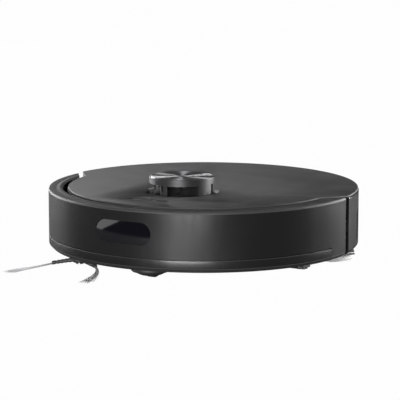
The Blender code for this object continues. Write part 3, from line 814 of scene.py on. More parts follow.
class Finishes:
    """Every finish of the machine, made once and shared."""

    def __init__(self, turret: Point, spinner: Point) -> None:
        """Describe the finishes.

        Args:
            turret: centre of the turret's disc in metres.
            spinner: centre of the side brush in metres.
        """
        body, inner = Slot.BODY, Slot.INNER
        described = {
            "shell": Moulded("satin shell", body, (0.0045, 0.0045, 0.0048), 0.22, 0.03, 1500.0, 0.05),
            "rim": Moulded(
                "matt rim", body, (0.014, 0.014, 0.0146), 0.62, 0.03, 1500.0, 0.05, specular=0.25
            ),
            "deck": Moulded(
                "matt deck", Slot.DECK, (0.013, 0.013, 0.0136), 0.68, 0.03, 1900.0, 0.30,
                worn=0.4, dust=0.05, specular=0.36,
            ),
            "turret": Moulded(
                "turret shell", body, (0.010, 0.010, 0.0105), 0.38, 0.04, 1500.0, 0.06, specular=0.3
            ),
            "head": Moulded(
                "scanner moulding", inner, (0.003, 0.003, 0.003), 0.80, 0.05, 900.0, 0.10,
                worn=0.2, worn_gain=1.5, dust=0.0, specular=0.1,
            ),
            "inner": Moulded("inner moulding", inner, (0.009, 0.009, 0.0095), 0.66, 0.06, 900.0, 0.12),
            "base": Moulded(
                "base moulding", inner, (0.016, 0.016, 0.017), 0.52, 0.08, 700.0, 0.25,
                worn=0.5, worn_gain=3.5, dust=0.0,
            ),
            "window": Moulded(
                "gloss window", Slot.WINDOW, (0.002, 0.002, 0.003), 0.06, 0.02, 60.0, 0.01,
                worn=0.0, worn_gain=1.0, dust=0.01, coat=0.6,
            ),
            "dish": Moulded("dish moulding", inner, (0.012, 0.012, 0.0125), 0.55, 0.04, 1200.0, 0.08),
            "keys": Moulded("key plastic", Slot.DECK, (0.016, 0.016, 0.017), 0.40, 0.04, 1900.0, 0.18),
            "rubber": Moulded(
                "black rubber", Slot.RUBBER, (0.010, 0.010, 0.011), 0.62, 0.08, 800.0, 0.25,
                worn=0.3, dust=0.05,
            ),
            "tyre": Moulded(
                "tyre rubber", Slot.TYRE, (0.013, 0.013, 0.013), 0.70, 0.10, 520.0, 0.35,
                worn=0.8, worn_gain=4.0, dust=0.10,
            ),
            "grey": Moulded(
                "grey moulding", Slot.GREY, (0.13, 0.13, 0.135), 0.48, 0.05, 1100.0, 0.12,
                worn=0.4, worn_gain=1.6, dust=0.02,
            ),
            "plate": Moulded(
                "mop plate plastic", Slot.GREY, (0.10, 0.10, 0.105), 0.46, 0.05, 1100.0, 0.12,
                worn=0.4, worn_gain=1.6,
            ),
            "steel": Moulded(
                "plated steel", Slot.STEEL, (0.50, 0.50, 0.51), 0.28, 0.08, 500.0, 0.10,
                worn=0.4, worn_gain=1.3, dust=0.0, metallic=1.0,
            ),
            "board": Moulded("circuit lacquer", Slot.BOARD, (0.015, 0.09, 0.05), 0.30, 0.06, 700.0, 0.2),
            "cell": Moulded("shrink sleeve", Slot.CELL, (0.04, 0.07, 0.20), 0.34, 0.06, 260.0, 0.3),
            "contact": Moulded(
                "gold contact", Slot.CONTACT, (0.78, 0.55, 0.25), 0.24, 0.08, 600.0, 0.15,
                worn=0.5, worn_gain=1.1, dust=0.0, metallic=1.0,
            ),
            "disc": TurnedMetal("turned disc", Slot.DISC, (0.36, 0.36, 0.37), turret),
            "cloth": Looped("looped cloth", Slot.CLOTH, (0.42, 0.42, 0.41), (0.22, 0.22, 0.215)),
            "bristle": Filament(
                "nylon bristle", Slot.BRISTLE, (0.10, 0.10, 0.102), (0.52, 0.52, 0.53), spinner,
                near=0.030, far=0.06,
            ),
        }
        self.described = described
        self.made: dict[str, bpy.types.Material] = {}

    def material(self, key: str) -> bpy.types.Material:
        """Give a finish's material, making it the first time."""
        if key not in self.made:
            self.made[key] = self.described[key].make()
        return self.made[key]

    def dress(self, obj: bpy.types.Object, key: str, body: str = "", *nodes: str) -> bpy.types.Object:
        """Give a piece its finish and its body, and hide the frame nodes that it stands for.

        Args:
            obj: the piece.
            key: the finish.
            body: the body it rides on; left out for a frame node.
            nodes: frame nodes it replaces.

        Returns:
            The piece.
        """
        if "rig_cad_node" in obj:
            if not obj.material_slots:
                obj.data.materials.append(None)
            for slot in obj.material_slots:
                slot.material = self.material(key)
            return obj
        obj.data.materials.clear()
        obj.data.materials.append(self.material(key))
        if body:
            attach(obj, body)
        if nodes:
            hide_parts(*nodes)
        LOG.info("%s rides on %s with finish %s", obj.name, body, key)
        return obj


# --------------------------------------------------------------------------------------
# Geometry Nodes
# --------------------------------------------------------------------------------------


class GeoTree(NodeBuilder):
    """Geometry Nodes tree with named inputs, built one node at a time."""

    def __init__(self, name: str, sizes: dict[str, tuple[str, object]]) -> None:
        """Start the tree.

        Args:
            name: the tree's name.
            sizes: input name to its kind (Float, Int, Vector, Material) and value.
        """
        super().__init__(bpy.data.node_groups.new(name, "GeometryNodeTree"))
        face = self.tree.interface
        face.new_socket("Geometry", in_out="INPUT", socket_type="NodeSocketGeometry")
        for label, (kind, value) in sizes.items():
            socket = face.new_socket(label, in_out="INPUT", socket_type=f"NodeSocket{kind}")
            if value is not None:
                socket.default_value = value
        face.new_socket("Geometry", in_out="OUTPUT", socket_type="NodeSocketGeometry")
        self.source = self.tree.nodes.new("NodeGroupInput").outputs

    def vector(self, x: object, y: object, z: object) -> bpy.types.NodeSocket:
        """Vector from three values."""
        return self.add("ShaderNodeCombineXYZ", {0: x, 1: y, 2: z}).outputs[0]

    def end(self, geometry: bpy.types.NodeSocket) -> bpy.types.NodeTree:
        """Realize everything, set the material and close the tree."""
        plain = self.add("GeometryNodeRealizeInstances", {0: geometry}).outputs[0]
        dressed = self.add(
            "GeometryNodeSetMaterial", {"Geometry": plain, "Material": self.source["Material"]}
        ).outputs[0]
        out = self.tree.nodes.new("NodeGroupOutput")
        self.tree.links.new(dressed, out.inputs[0])
        return self.tree


def grown(
    host: bpy.types.Object, tree: bpy.types.NodeTree, sizes: dict[str, object], sharp: float = 35.0
) -> bpy.types.Object:
    """Run a Geometry Nodes tree on a host and keep its plain result.

    Args:
        host: the object that carries the tree.
        tree: the tree.
        sizes: input name to value.
        sharp: edges bent by more than this many degrees stay crisp.

    Returns:
        The host, now a plain mesh.
    """
    step = host.modifiers.new(tree.name, "NODES")
    step.node_group = tree
    names = {s.name: s.identifier for s in tree.interface.items_tree if s.item_type == "SOCKET"}
    for name, value in sizes.items():
        step[names[name]] = value
    return flatten(host, sharp)


def empty_host(name: str, points: Sequence[Point] = ((0.0, 0.0, 0.0),)) -> bpy.types.Object:
    """Object whose vertices are only places, in millimetres."""
    bm = bmesh.new()
    for point in points:
        bm.verts.new(point)
    return new_object(bm, name)


def radius_scale(build: GeoTree, node: bpy.types.Node, value: object) -> None:
    """Feed a curve's taper to a Curve to Mesh node that has a scale input."""
    if "Scale" in node.inputs:
        build.tree.links.new(value, node.inputs["Scale"])


def bristle_tree() -> bpy.types.NodeTree:
    """Bundle of loose filaments along one bent path, spreading towards the tip."""
    sizes = {
        "Start": ("Vector", (0.0, 0.0, 0.0)),
        "Bend": ("Vector", (0.0, 0.0, 0.0)),
        "Tip": ("Vector", (0.0, 0.0, 0.0)),
        "Count": ("Int", 60),
        "Root Spread": ("Vector", (0.001, 0.001, 0.001)),
        "Tip Spread": ("Vector", (0.008, 0.008, 0.001)),
        "Thickness": ("Float", 0.00012),
        "Seed": ("Int", 3),
        "Material": ("Material", None),
    }
    build = GeoTree("Bristle bundle", sizes)
    take = build.source
    points = build.add("GeometryNodePoints", {"Count": take["Count"]}).outputs[0]
    path = build.add(
        "GeometryNodeCurveQuadraticBezier",
        {"Resolution": 10, "Start": take["Start"], "Middle": take["Bend"], "End": take["Tip"]},
    ).outputs[0]
    copies = build.add("GeometryNodeInstanceOnPoints", {"Points": points, "Instance": path}).outputs[0]
    curves = build.add("GeometryNodeRealizeInstances", {0: copies}).outputs[0]
    owner = build.add("GeometryNodeCurveOfPoint").outputs["Curve Index"]
    along = build.add("GeometryNodeSplineParameter").outputs["Factor"]
    offsets = []
    for spread, lift in (("Root Spread", 0), ("Tip Spread", 1)):
        low = build.add("ShaderNodeVectorMath", {0: take[spread], "Scale": -1.0}, operation="SCALE")
        seed = build.maths("ADD", take["Seed"], float(lift))
        pick = build.add(
            "FunctionNodeRandomValue",
            {0: low.outputs[0], 1: take[spread], "ID": owner, "Seed": seed},
            data_type="FLOAT_VECTOR",
        ).outputs[0]
        offsets.append(pick)
    grow = build.maths("POWER", along, 1.5)
    fan = build.add("ShaderNodeVectorMath", {0: offsets[1], "Scale": grow}, operation="SCALE").outputs[0]
    shift = build.add("ShaderNodeVectorMath", {0: offsets[0], 1: fan}, operation="ADD").outputs[0]
    spread_out = build.add("GeometryNodeSetPosition", {"Geometry": curves, "Offset": shift}).outputs[0]
    cut = build.add(
        "FunctionNodeRandomValue",
        {2: 0.86, 3: 1.0, "ID": build.add("GeometryNodeInputIndex").outputs[0], "Seed": 11},
        data_type="FLOAT",
    ).outputs[1]
    trimmed = build.add("GeometryNodeTrimCurve", {"Curve": spread_out}, mode="FACTOR")
    build.tree.links.new(cut, trimmed.inputs[3])
    ring = build.add("GeometryNodeCurvePrimitiveCircle", {"Resolution": 4, "Radius": take["Thickness"]})
    taper = build.maths("MULTIPLY_ADD", along, -0.55, 1.0)
    tubes = build.add(
        "GeometryNodeCurveToMesh",
        {"Curve": trimmed.outputs[0], "Profile Curve": ring.outputs[0], "Fill Caps": True},
    )
    radius_scale(build, tubes, taper)
    return build.end(tubes.outputs[0])


def tread_tree() -> bpy.types.NodeTree:
    """Slanted lugs in two staggered rows round a tyre that lies across the machine."""
    sizes = {
        "Centre": ("Vector", (0.0, 0.0, 0.0)),
        "Radius": ("Float", 0.035),
        "Rows": ("Int", 30),
        "Lug": ("Vector", (0.008, 0.0032, 0.003)),
        "Offset": ("Float", 0.0045),
        "Slant": ("Float", 0.35),
        "Material": ("Material", None),
    }
    build = GeoTree("Tyre tread", sizes)
    take = build.source
    parts = [take["Geometry"]]
    circle = build.add(
        "GeometryNodeCurvePrimitiveCircle", {"Resolution": 120, "Radius": take["Radius"]}
    ).outputs[0]
    spots = build.add("GeometryNodeCurveToPoints", {"Curve": circle, "Count": take["Rows"]}).outputs[0]
    upright = build.add(
        "GeometryNodeTransform", {"Geometry": spots, "Rotation": (0.0, math.pi / 2, 0.0)}
    ).outputs[0]
    lug = build.add("GeometryNodeMeshCube", {"Size": take["Lug"]}).outputs[0]
    for side in (-1.0, 1.0):
        step = build.maths("DIVIDE", math.pi * (side + 1) / 2, take["Rows"])
        row = build.add(
            "GeometryNodeTransform",
            {"Geometry": upright, "Rotation": build.vector(step, 0.0, 0.0)},
        ).outputs[0]
        outward = build.add("GeometryNodeInputPosition").outputs[0]
        facing = build.add(
            "FunctionNodeAlignRotationToVector", {"Vector": outward}, axis="Z", pivot_axis="X"
        ).outputs[0]
        slant = build.maths("MULTIPLY", take["Slant"], side)
        lean = build.add(
            "FunctionNodeRotateRotation",
            {"Rotation": facing, "Rotate By": build.vector(0.0, 0.0, slant)},
            rotation_space="LOCAL",
        ).outputs[0]
        lugs = build.add(
            "GeometryNodeInstanceOnPoints", {"Points": row, "Instance": lug, "Rotation": lean}
        ).outputs[0]
        across = build.maths("MULTIPLY", take["Offset"], side)
        parts.append(
            build.add(
                "GeometryNodeTransform", {"Geometry": lugs, "Translation": build.vector(across, 0.0, 0.0)}
            ).outputs[0]
        )
    placed = []
    for part in parts[1:]:
        placed.append(
            build.add("GeometryNodeTransform", {"Geometry": part, "Translation": take["Centre"]}).outputs[0]
        )
    join = build.add("GeometryNodeJoinGeometry")
    for part in (parts[0], *placed):
        build.tree.links.new(part, join.inputs[0])
    return build.end(join.outputs[0])


def screw_tree() -> bpy.types.NodeTree:
    """Recessed cross-head screws, heads down, one at each point of the host."""
    sizes = {
        "Head": ("Float", 0.0027),
        "Height": ("Float", 0.0012),
        "Cross": ("Float", 0.0007),
        "Material": ("Material", None),
    }
    build = GeoTree("Screw heads", sizes)
    take = build.source
    head = build.add(
        "GeometryNodeMeshCylinder",
        {"Vertices": 20, "Radius": take["Head"], "Depth": take["Height"]},
    ).outputs[0]
    long_side = build.maths("MULTIPLY", take["Head"], 1.25)
    deep = build.maths("MULTIPLY", take["Height"], 1.2)
    lower = build.vector(0.0, 0.0, build.maths("MULTIPLY", take["Height"], -0.5))
    bars = []
    for size in ((long_side, take["Cross"]), (take["Cross"], long_side)):
        cube = build.add("GeometryNodeMeshCube", {"Size": build.vector(*size, deep)}).outputs[0]
        bars.append(build.add("GeometryNodeTransform", {"Geometry": cube, "Translation": lower}).outputs[0])
    cross = build.add("GeometryNodeMeshBoolean", operation="UNION", solver="EXACT")
    for bar in bars:
        build.tree.links.new(bar, cross.inputs["Mesh 2"])
    cut = build.add("GeometryNodeMeshBoolean", {"Mesh 1": head}, operation="DIFFERENCE", solver="EXACT")
    build.tree.links.new(cross.outputs[0], cut.inputs["Mesh 2"])
    turn = build.add(
        "FunctionNodeRandomValue",
        {2: 0.0, 3: 1.5, "Seed": 5},
        data_type="FLOAT",
    ).outputs[1]
    screws = build.add(
        "GeometryNodeInstanceOnPoints",
        {
            "Points": take["Geometry"],
            "Instance": cut.outputs[0],
            "Rotation": build.vector(0.0, 0.0, turn),
        },
    ).outputs[0]
    return build.end(screws)


def vent_tree() -> bpy.types.NodeTree:
    """Stack of slanted round-ended slots cut through a round wall, one on each side."""
    sizes = {
        "Radius": ("Float", 0.175),
        "Angle": ("Float", 2.0),
        "Lowest": ("Float", 0.035),
        "Pitch": ("Float", 0.0032),
        "Count": ("Int", 10),
        "Length": ("Float", 0.038),
        "Width": ("Float", 0.0016),
        "Slant": ("Float", 0.2),
        "Material": ("Material", None),
    }
    build = GeoTree("Slotted wall", sizes)
    take = build.source
    outline = build.add(
        "GeometryNodeCurvePrimitiveQuadrilateral", {"Width": take["Length"], "Height": take["Width"]}
    ).outputs[0]
    half = build.maths("MULTIPLY", take["Width"], 0.49)
    slot = build.add(
        "GeometryNodeFilletCurve", {"Curve": outline, "Count": 4, "Radius": half}, mode="POLY"
    ).outputs[0]
    reach = 0.012
    ends = {"Start": (0.0, 0.0, -reach), "End": (0.0, 0.0, reach)}
    rod = build.add("GeometryNodeCurvePrimitiveLine", ends)
    cutter = build.add(
        "GeometryNodeCurveToMesh", {"Curve": rod.outputs[0], "Profile Curve": slot, "Fill Caps": True}
    ).outputs[0]
    upright = build.add(
        "GeometryNodeTransform", {"Geometry": cutter, "Rotation": (math.pi / 2, 0.0, 0.0)}
    ).outputs[0]
    join = build.add("GeometryNodeJoinGeometry")
    for side in (-1.0, 1.0):
        points = build.add("GeometryNodePoints", {"Count": take["Count"]}).outputs[0]
        index = build.add("GeometryNodeInputIndex").outputs[0]
        height = build.maths("MULTIPLY_ADD", index, take["Pitch"], take["Lowest"])
        angle = build.maths("MULTIPLY", take["Angle"], side)
        x = build.maths("MULTIPLY", build.maths("SINE", angle), take["Radius"])
        ahead = build.maths("MULTIPLY", take["Radius"], -1.0)
        y = build.maths("MULTIPLY", build.maths("COSINE", angle), ahead)
        spots = build.add(
            "GeometryNodeSetPosition", {"Geometry": points, "Position": build.vector(x, y, height)}
        ).outputs[0]
        lean = build.maths("MULTIPLY", take["Slant"], -side)
        cuts = build.add(
            "GeometryNodeInstanceOnPoints",
            {"Points": spots, "Instance": upright, "Rotation": build.vector(0.0, lean, angle)},
        ).outputs[0]
        build.tree.links.new(cuts, join.inputs[0])
    loose = build.add("GeometryNodeRealizeInstances", {0: join.outputs[0]}).outputs[0]
    carve = build.add(
        "GeometryNodeMeshBoolean",
        {"Mesh 1": take["Geometry"]},
        operation="DIFFERENCE",
        solver="EXACT",
    )
    build.tree.links.new(loose, carve.inputs["Mesh 2"])
    return build.end(carve.outputs[0])


# --------------------------------------------------------------------------------------
# Sub-assemblies
# --------------------------------------------------------------------------------------


@dataclass
class Assembly:
    """A sub-assembly of the machine and the finishes that it wears."""

    finishes: Finishes
    nodes: dict[str, bpy.types.Object]
    made: dict[str, bpy.types.Object] = field(default_factory=dict, init=False)

    def build(self) -> None:
        """Make the sub-assembly's meshes."""

    def dress(self) -> None:
        """Give each piece its finish and the body it rides on."""

    def keep(self, finish: str, *names: str) -> None:
        """Give frame nodes that stay as they are their finish."""
        for name in names:
            self.finishes.dress(self.nodes[name], finish)


@dataclass
class Bumper(Assembly):
    """Sprung front bumper: wall with raised rim, foot strip and dark window."""

    radius: float = 175.0
    wall: float = 2.6
    half_angle: float = 92.7
    rim_radius: float = 158.7
    groove_half: float = 82.4
    groove_z: float = 33.0
    groove_gap: float = 1.4
    window: Plan = (69.0, 24.6)
    gap: float = 0.3
    crown: float = 1.3
    pane_lean: float = 0.05
    groove_depth: float = 2.4
    strip_gap: float = 0.05
    steps: int = 180

    def wall_profile(self, deck: float, foot: float) -> list[Plan]:
        """Section of the wall and rim.

        Args:
            deck: height of the deck.
            foot: height of the wall's lower edge.

        Returns:
            Closed (radius, height) outline.
        """
        outer, inner = self.radius, self.radius - self.wall
        return rounded(
            [
                (inner - 2.0, foot, 0.2),
                (outer - 3.8, foot, 0.8),
                (outer, foot + 3.8, 0.8),
                (outer, deck - 2.6, 1.1),
                (outer - 0.9, deck - 0.9, 0.6),
                (outer - 9.2, deck - 1.6, 2.6),
                (outer - 12.8, deck - 0.2, 1.6),
                (self.rim_radius, deck - 1.2, 0.5),
                (self.rim_radius, deck - 5.5, 0.0),
                (inner, deck - 5.5, 0.0),
                (inner, 40.0, 0.0),
                (inner - 2.0, 38.0, 0.0),
            ]
        )

    def build(self) -> None:
        """Make the wall, the foot strip and the window pane."""
        low, deck = box_mm("bumper_shell")[0], box_mm("top_cover")[1].z
        centre_z = middle_mm("camera_window").z
        profile = self.wall_profile(deck, low.z)
        body = turned(profile, start=-self.half_angle, sweep=2 * self.half_angle, steps=self.steps)
        wall = new_object(body, "bumper_wall")
        lip = self.radius - self.groove_depth
        top = self.groove_z + self.groove_gap
        channel = [(lip, 12.0), (self.radius + 6, 12.0), (self.radius + 6, top), (lip, top)]
        groove = turned(channel, start=-self.groove_half, sweep=2 * self.groove_half, steps=151)
        outline = [(x, z + centre_z) for x, z in stadium(*self.window, 20)]
        ends = []
        for side in (-1, 1):
            wedge = [(174.9, 8.3), (158.0, -15.0), (150.0, -15.0), (150.0, 20.0), (182.0, 20.0)]
            ends.append(extruded([(side * x, y) for x, y in wedge], deck - 7.0, deck + 9.0))
        carved(wall, [groove, self.pierced(outline), *ends])
        self.made["wall"] = evened(wall)
        self.build_strip(lip)
        self.build_pane(centre_z)

    def pierced(self, outline: Sequence[Plan]) -> bmesh.types.BMesh:
        """Prism that runs through the front wall on an outline in (x, z)."""
        prism = extruded(outline, 150.0, 190.0)
        return moved(prism, lambda co: (co.x, -co.z, co.y))

    def build_strip(self, lip: float) -> None:
        """Make the strip below the groove.

        Args:
            lip: radius of the groove's floor.
        """
        reveal = lip + self.gap
        low, high = box_mm("bumper_strip")
        section = rounded(
            [
                (reveal, low.z, 0.2),
                (self.radius, low.z + self.radius - reveal, 0.8),
                (self.radius, high.z, 0.5),
                (reveal, high.z, 0.2),
            ]
        )
        half = self.groove_half - self.strip_gap
        strip = turned(section, start=-half, sweep=2 * half, steps=150)
        self.made["strip"] = new_object(strip, "bumper_foot_strip")

    def build_pane(self, centre_z: float) -> None:
        """Make the window pane.

        Args:
            centre_z: height of the window's middle.
        """
        face, reach, count = self.radius - 0.3, self.window[1] / 2, 12
        section = [(face - 2.9, centre_z + reach), (face - 2.9, centre_z - reach)]
        for i in range(count + 1):
            level = i / count
            section.append((face - self.crown * level * level, centre_z + reach * (2 * level - 1)))
        pane = new_object(turned(section, start=-16.0, sweep=32.0, steps=41), "bumper_window_pane")
        size = (self.window[0] - 2 * self.gap, self.window[1] - 2 * self.gap)
        outline = [(x, z + centre_z) for x, z in stadium(*size, 20)]
        carved(pane, [self.pierced(outline)], "INTERSECT")
        self.made["pane"] = evened(pane, lean=self.pane_lean)

    def dress(self) -> None:
        """Finish the wall, strip and pane; edges that aren't upright are matt."""
        self.finishes.dress(self.made["wall"], "shell", "bumper", "bumper_shell")
        self.finishes.dress(self.made["strip"], "shell", "bumper", "bumper_strip")
        for piece in ("wall", "strip"):
            mesh = self.made[piece].data
            mesh.materials.append(self.finishes.material("rim"))
            for face in mesh.polygons:
                face.material_index = int(abs(face.normal.z) > TILT_LIMIT)
        self.finishes.dress(self.made["pane"], "window", "bumper", "camera_window")


@dataclass
class RearWall(Assembly):
    """Rear half of the side wall with a stack of slanted air slots on each side."""

    radius: float = 175.0
    wall: float = 2.6
    start: float = 95.7
    slots: int = 10
    slot_angle: float = 112.7
    slot_size: Plan = (38.0, 1.6)
    slot_low: float = 35.3
    slot_pitch: float = 3.2
    slot_slant: float = 13.0

    def build(self) -> None:
        """Make the wall, open it for the tank and cut the slots."""
        low, high = box_mm("rear_shell")
        outer, inner = self.radius, self.radius - self.wall
        section = rounded(
            [
                (inner - 2.0, low.z, 0.2),
                (outer - 3.8, low.z, 0.8),
                (outer, low.z + 3.8, 0.8),
                (outer, high.z, 0.5),
                (inner, high.z, 0.3),
                (inner, 40.0, 0.0),
                (inner - 2.0, 38.0, 0.0),
            ]
        )
        sweep = 360.0 - 2 * self.start
        wall = new_object(turned(section, start=self.start, sweep=sweep, steps=166), "rear_wall")
        tank = box_mm("dust_tank")[1].x + 0.6
        bay = box((-tank, 120.0, 10.0), (tank, 190.0, box_mm("tank_lid")[1].z + 0.4))
        carved(wall, [bay])
        sizes = {
            "Radius": (self.radius - 1.3) * MM,
            "Angle": math.radians(self.slot_angle),
            "Lowest": self.slot_low * MM,
            "Pitch": self.slot_pitch * MM,
            "Count": self.slots,
            "Length": self.slot_size[0] * MM,
            "Width": self.slot_size[1] * MM,
            "Slant": math.radians(self.slot_slant),
            "Material": self.finishes.material("shell"),
        }
        self.made["wall"] = evened(grown(wall, vent_tree(), sizes))

    def dress(self) -> None:
        """Finish the wall."""
        self.finishes.dress(self.made["wall"], "shell", "chassis", "rear_shell")


@dataclass
class TopCover(Assembly):
    """Lift-off top cover with the two keys in their slot."""

    front_radius: float = 152.6
    rear_radius: float = 174.2
    shoulders: Plan = (85.6, 95.0)
    well: float = 41.0
    slot: Plan = (48.0, 12.0)
    edge: float = 0.8
    key_gap: float = 0.3

    def build(self) -> None:
        """Make the cover and both keys."""
        low, high = box_mm("top_cover")
        front, rear = self.shoulders
        outline = arc(self.front_radius, -front, front, 130)
        outline += arc(self.rear_radius, rear, 360.0 - rear, 130)
        cover = new_object(extruded(outline, low.z, high.z), "deck_cover")
        turret = middle_mm("turret_disc")
        key = middle_mm("power_button")
        opening = [(x, y + key.y) for x, y in stadium(*self.slot, 20)]
        well = turned([(0.0, 70.0), (self.well, 70.0), (self.well, 99.0), (0.0, 99.0)], turret.xy, 1.3)
        carved(cover, [well, extruded(opening, 70.0, 99.0)])
        self.made["cover"] = eased(cover, self.edge, 3)
        size = (self.slot[0] - 2 * self.key_gap, self.slot[1] - 2 * self.key_gap)
        for node, side in (("power_button", -1), ("home_button", 1)):
            low, high = box_mm(node)
            half = [(max(0.4, side * x) * side, y + key.y) for x, y in stadium(*size, 20)]
            half = list(dict.fromkeys(half))
            self.made[node] = new_object(extruded(half, low.z, high.z, 0.7), f"{node}_cap")

    def dress(self) -> None:
        """Finish the cover and the keys."""
        self.finishes.dress(self.made["cover"], "deck", "cover", "top_cover")
        self.finishes.dress(self.made["power_button"], "keys", "power_key", "power_button")
        self.finishes.dress(self.made["home_button"], "keys", "home_key", "home_button")


@dataclass
class Turret(Assembly):
    """Scanning turret: fixed dish, sprung cap with its metal disc, and the turning head."""

    radius: float = 36.0
    well: float = 41.0
    wall: float = 2.7
    slit: Plan = (85.0, 96.0)
    openings: tuple[Plan, ...] = ((4, 62), (94, 106), (113, 184), (192, 262), (270, 356))

    def build(self) -> None:
        """Make the dish, cap, disc, head and its two lenses."""
        self.axis: Plan = tuple(middle_mm("turret_disc").xy)
        self.build_dish()
        self.build_cap()
        self.build_head()

    def build_dish(self) -> None:
        """Make the fixed dish round the turret's foot."""
        low, high = box_mm("turret_dish")
        section = rounded(
            [
                (0.0, low.z, 0.0),
                (self.well + 1.6, low.z, 0.4),
                (self.well + 1.6, high.z - 2.2, 0.0),
                (self.well - 0.4, high.z - 2.2, 0.0),
                (self.well - 0.6, high.z, 0.35),
                (self.well - 2.9, high.z - 2.4, 0.5),
                (self.well - 2.9, low.z + 2.2, 1.2),
                (0.0, low.z + 2.2, 0.0),
            ]
        )
        dish = new_object(turned(section, self.axis, 1.1, steps=144), "turret_well")
        x, y = self.axis
        notch = box((x - 46.0, y - 33.0, low.z + 2.4), (x - 30.0, y + 33.0, low.z + 6.0))
        self.made["dish"] = carved(dish, [notch])

    def build_cap(self) -> None:
        """Make the cap with its scanning slit, and the disc on top."""
        low, high = box_mm("turret_cap")
        outer, inner = self.radius, self.radius - self.wall
        seat = high.z - 3.0
        section = rounded(
            [
                (0.0, seat - 2.5, 0.0),
                (inner, seat - 2.5, 0.5),
                (inner, low.z, 0.3),
                (outer, low.z, 0.4),
                (outer, high.z - 0.2, 1.0),
                (outer - 0.9, high.z, 0.4),
                (outer - 1.4, high.z - 0.3, 0.2),
                (outer - 1.4, seat, 0.0),
                (0.0, seat, 0.0),
            ]
        )
        cap = new_object(turned(section, self.axis, 2.5, steps=144), "turret_hood")
        foot, head = self.slit
        cuts = []
        for first, last in self.openings:
            slot = [(28.0, foot), (40.0, foot), (40.0, head), (28.0, head)]
            steps = max(2, round((last - first) / 2.6))
            cuts.append(turned(slot, self.axis, first, last - first, steps))
        self.made["cap"] = evened(carved(cap, cuts), self.axis)
        rim = outer - 1.7
        top = [(0.0, high.z - 0.55), (6.0, high.z - 0.5), (rim - 2.4, high.z - 0.12)]
        edge = [(rim - 0.6, high.z), (rim, high.z - 0.5, 0.3)]
        face = rounded(
            [
                (0.0, seat + 0.3, 0.0),
                (rim, seat + 0.3, 0.0),
                *reversed([(r, z, 0.3) for r, z, *_ in (*top[1:], *edge)]),
                (0.0, top[0][1], 0.0),
            ]
        )
        self.made["disc"] = new_object(turned(face, self.axis, steps=180), "turret_plate")

    def build_head(self) -> None:
        """Make the turning head with its pocket and two lenses."""
        low, high = box_mm("turret_rotor")
        section = rounded(
            [
                (0.0, low.z, 0.0),
                (30.0, low.z, 0.3),
                (30.0, low.z + 2.6, 0.3),
                (24.0, low.z + 3.2, 0.6),
                (24.0, high.z - 0.8, 0.3),
                (23.0, high.z, 0.3),
                (0.0, high.z, 0.0),
            ]
        )
        head = new_object(turned(section, self.axis, 1.1, steps=96), "scanner_head")
        x, y = self.axis
        front = y - 24.0
        foot, top = self.slit[0] + 0.6, self.slit[1] - 1.8
        self.made["head"] = eased(
            carved(head, [box((x - 16.0, front - 2, foot), (x + 16.0, front + 6, top))]), 0.3
        )
        for name, offset, size in (("sender", -8.5, 3.0), ("receiver", 6.5, 3.9)):
            dome = [(0.0, 0.0), (size, 0.0), (size, 1.6)]
            dome += [(size * math.cos(t), 1.6 + 1.5 * math.sin(t)) for t in (0.3, 0.7, 1.1, 1.4)]
            dome += [(0.0, 3.15)]
            place = Vector((x + offset, front + 6.1, (foot + top) / 2))
            lens = moved(
                turned(dome, steps=36),
                lambda co, at=place: (at.x + co.x, at.y - co.z, at.z + co.y),
            )
            self.made[name] = new_object(lens, f"scanner_{name}_lens")

    def dress(self) -> None:
        """Finish the turret's pieces."""
        self.finishes.dress(self.made["dish"], "dish", "chassis", "turret_dish")
        self.finishes.dress(self.made["cap"], "turret", "turret", "turret_cap")
        self.finishes.dress(self.made["disc"], "disc", "turret", "turret_disc")
        self.finishes.dress(self.made["head"], "head", "rotor", "turret_rotor")
        for name in ("sender", "receiver"):
            self.finishes.dress(self.made[name], "head", "rotor")
        self.keep("steel", "turret_motor")
        self.keep("rubber", "turret_belt")


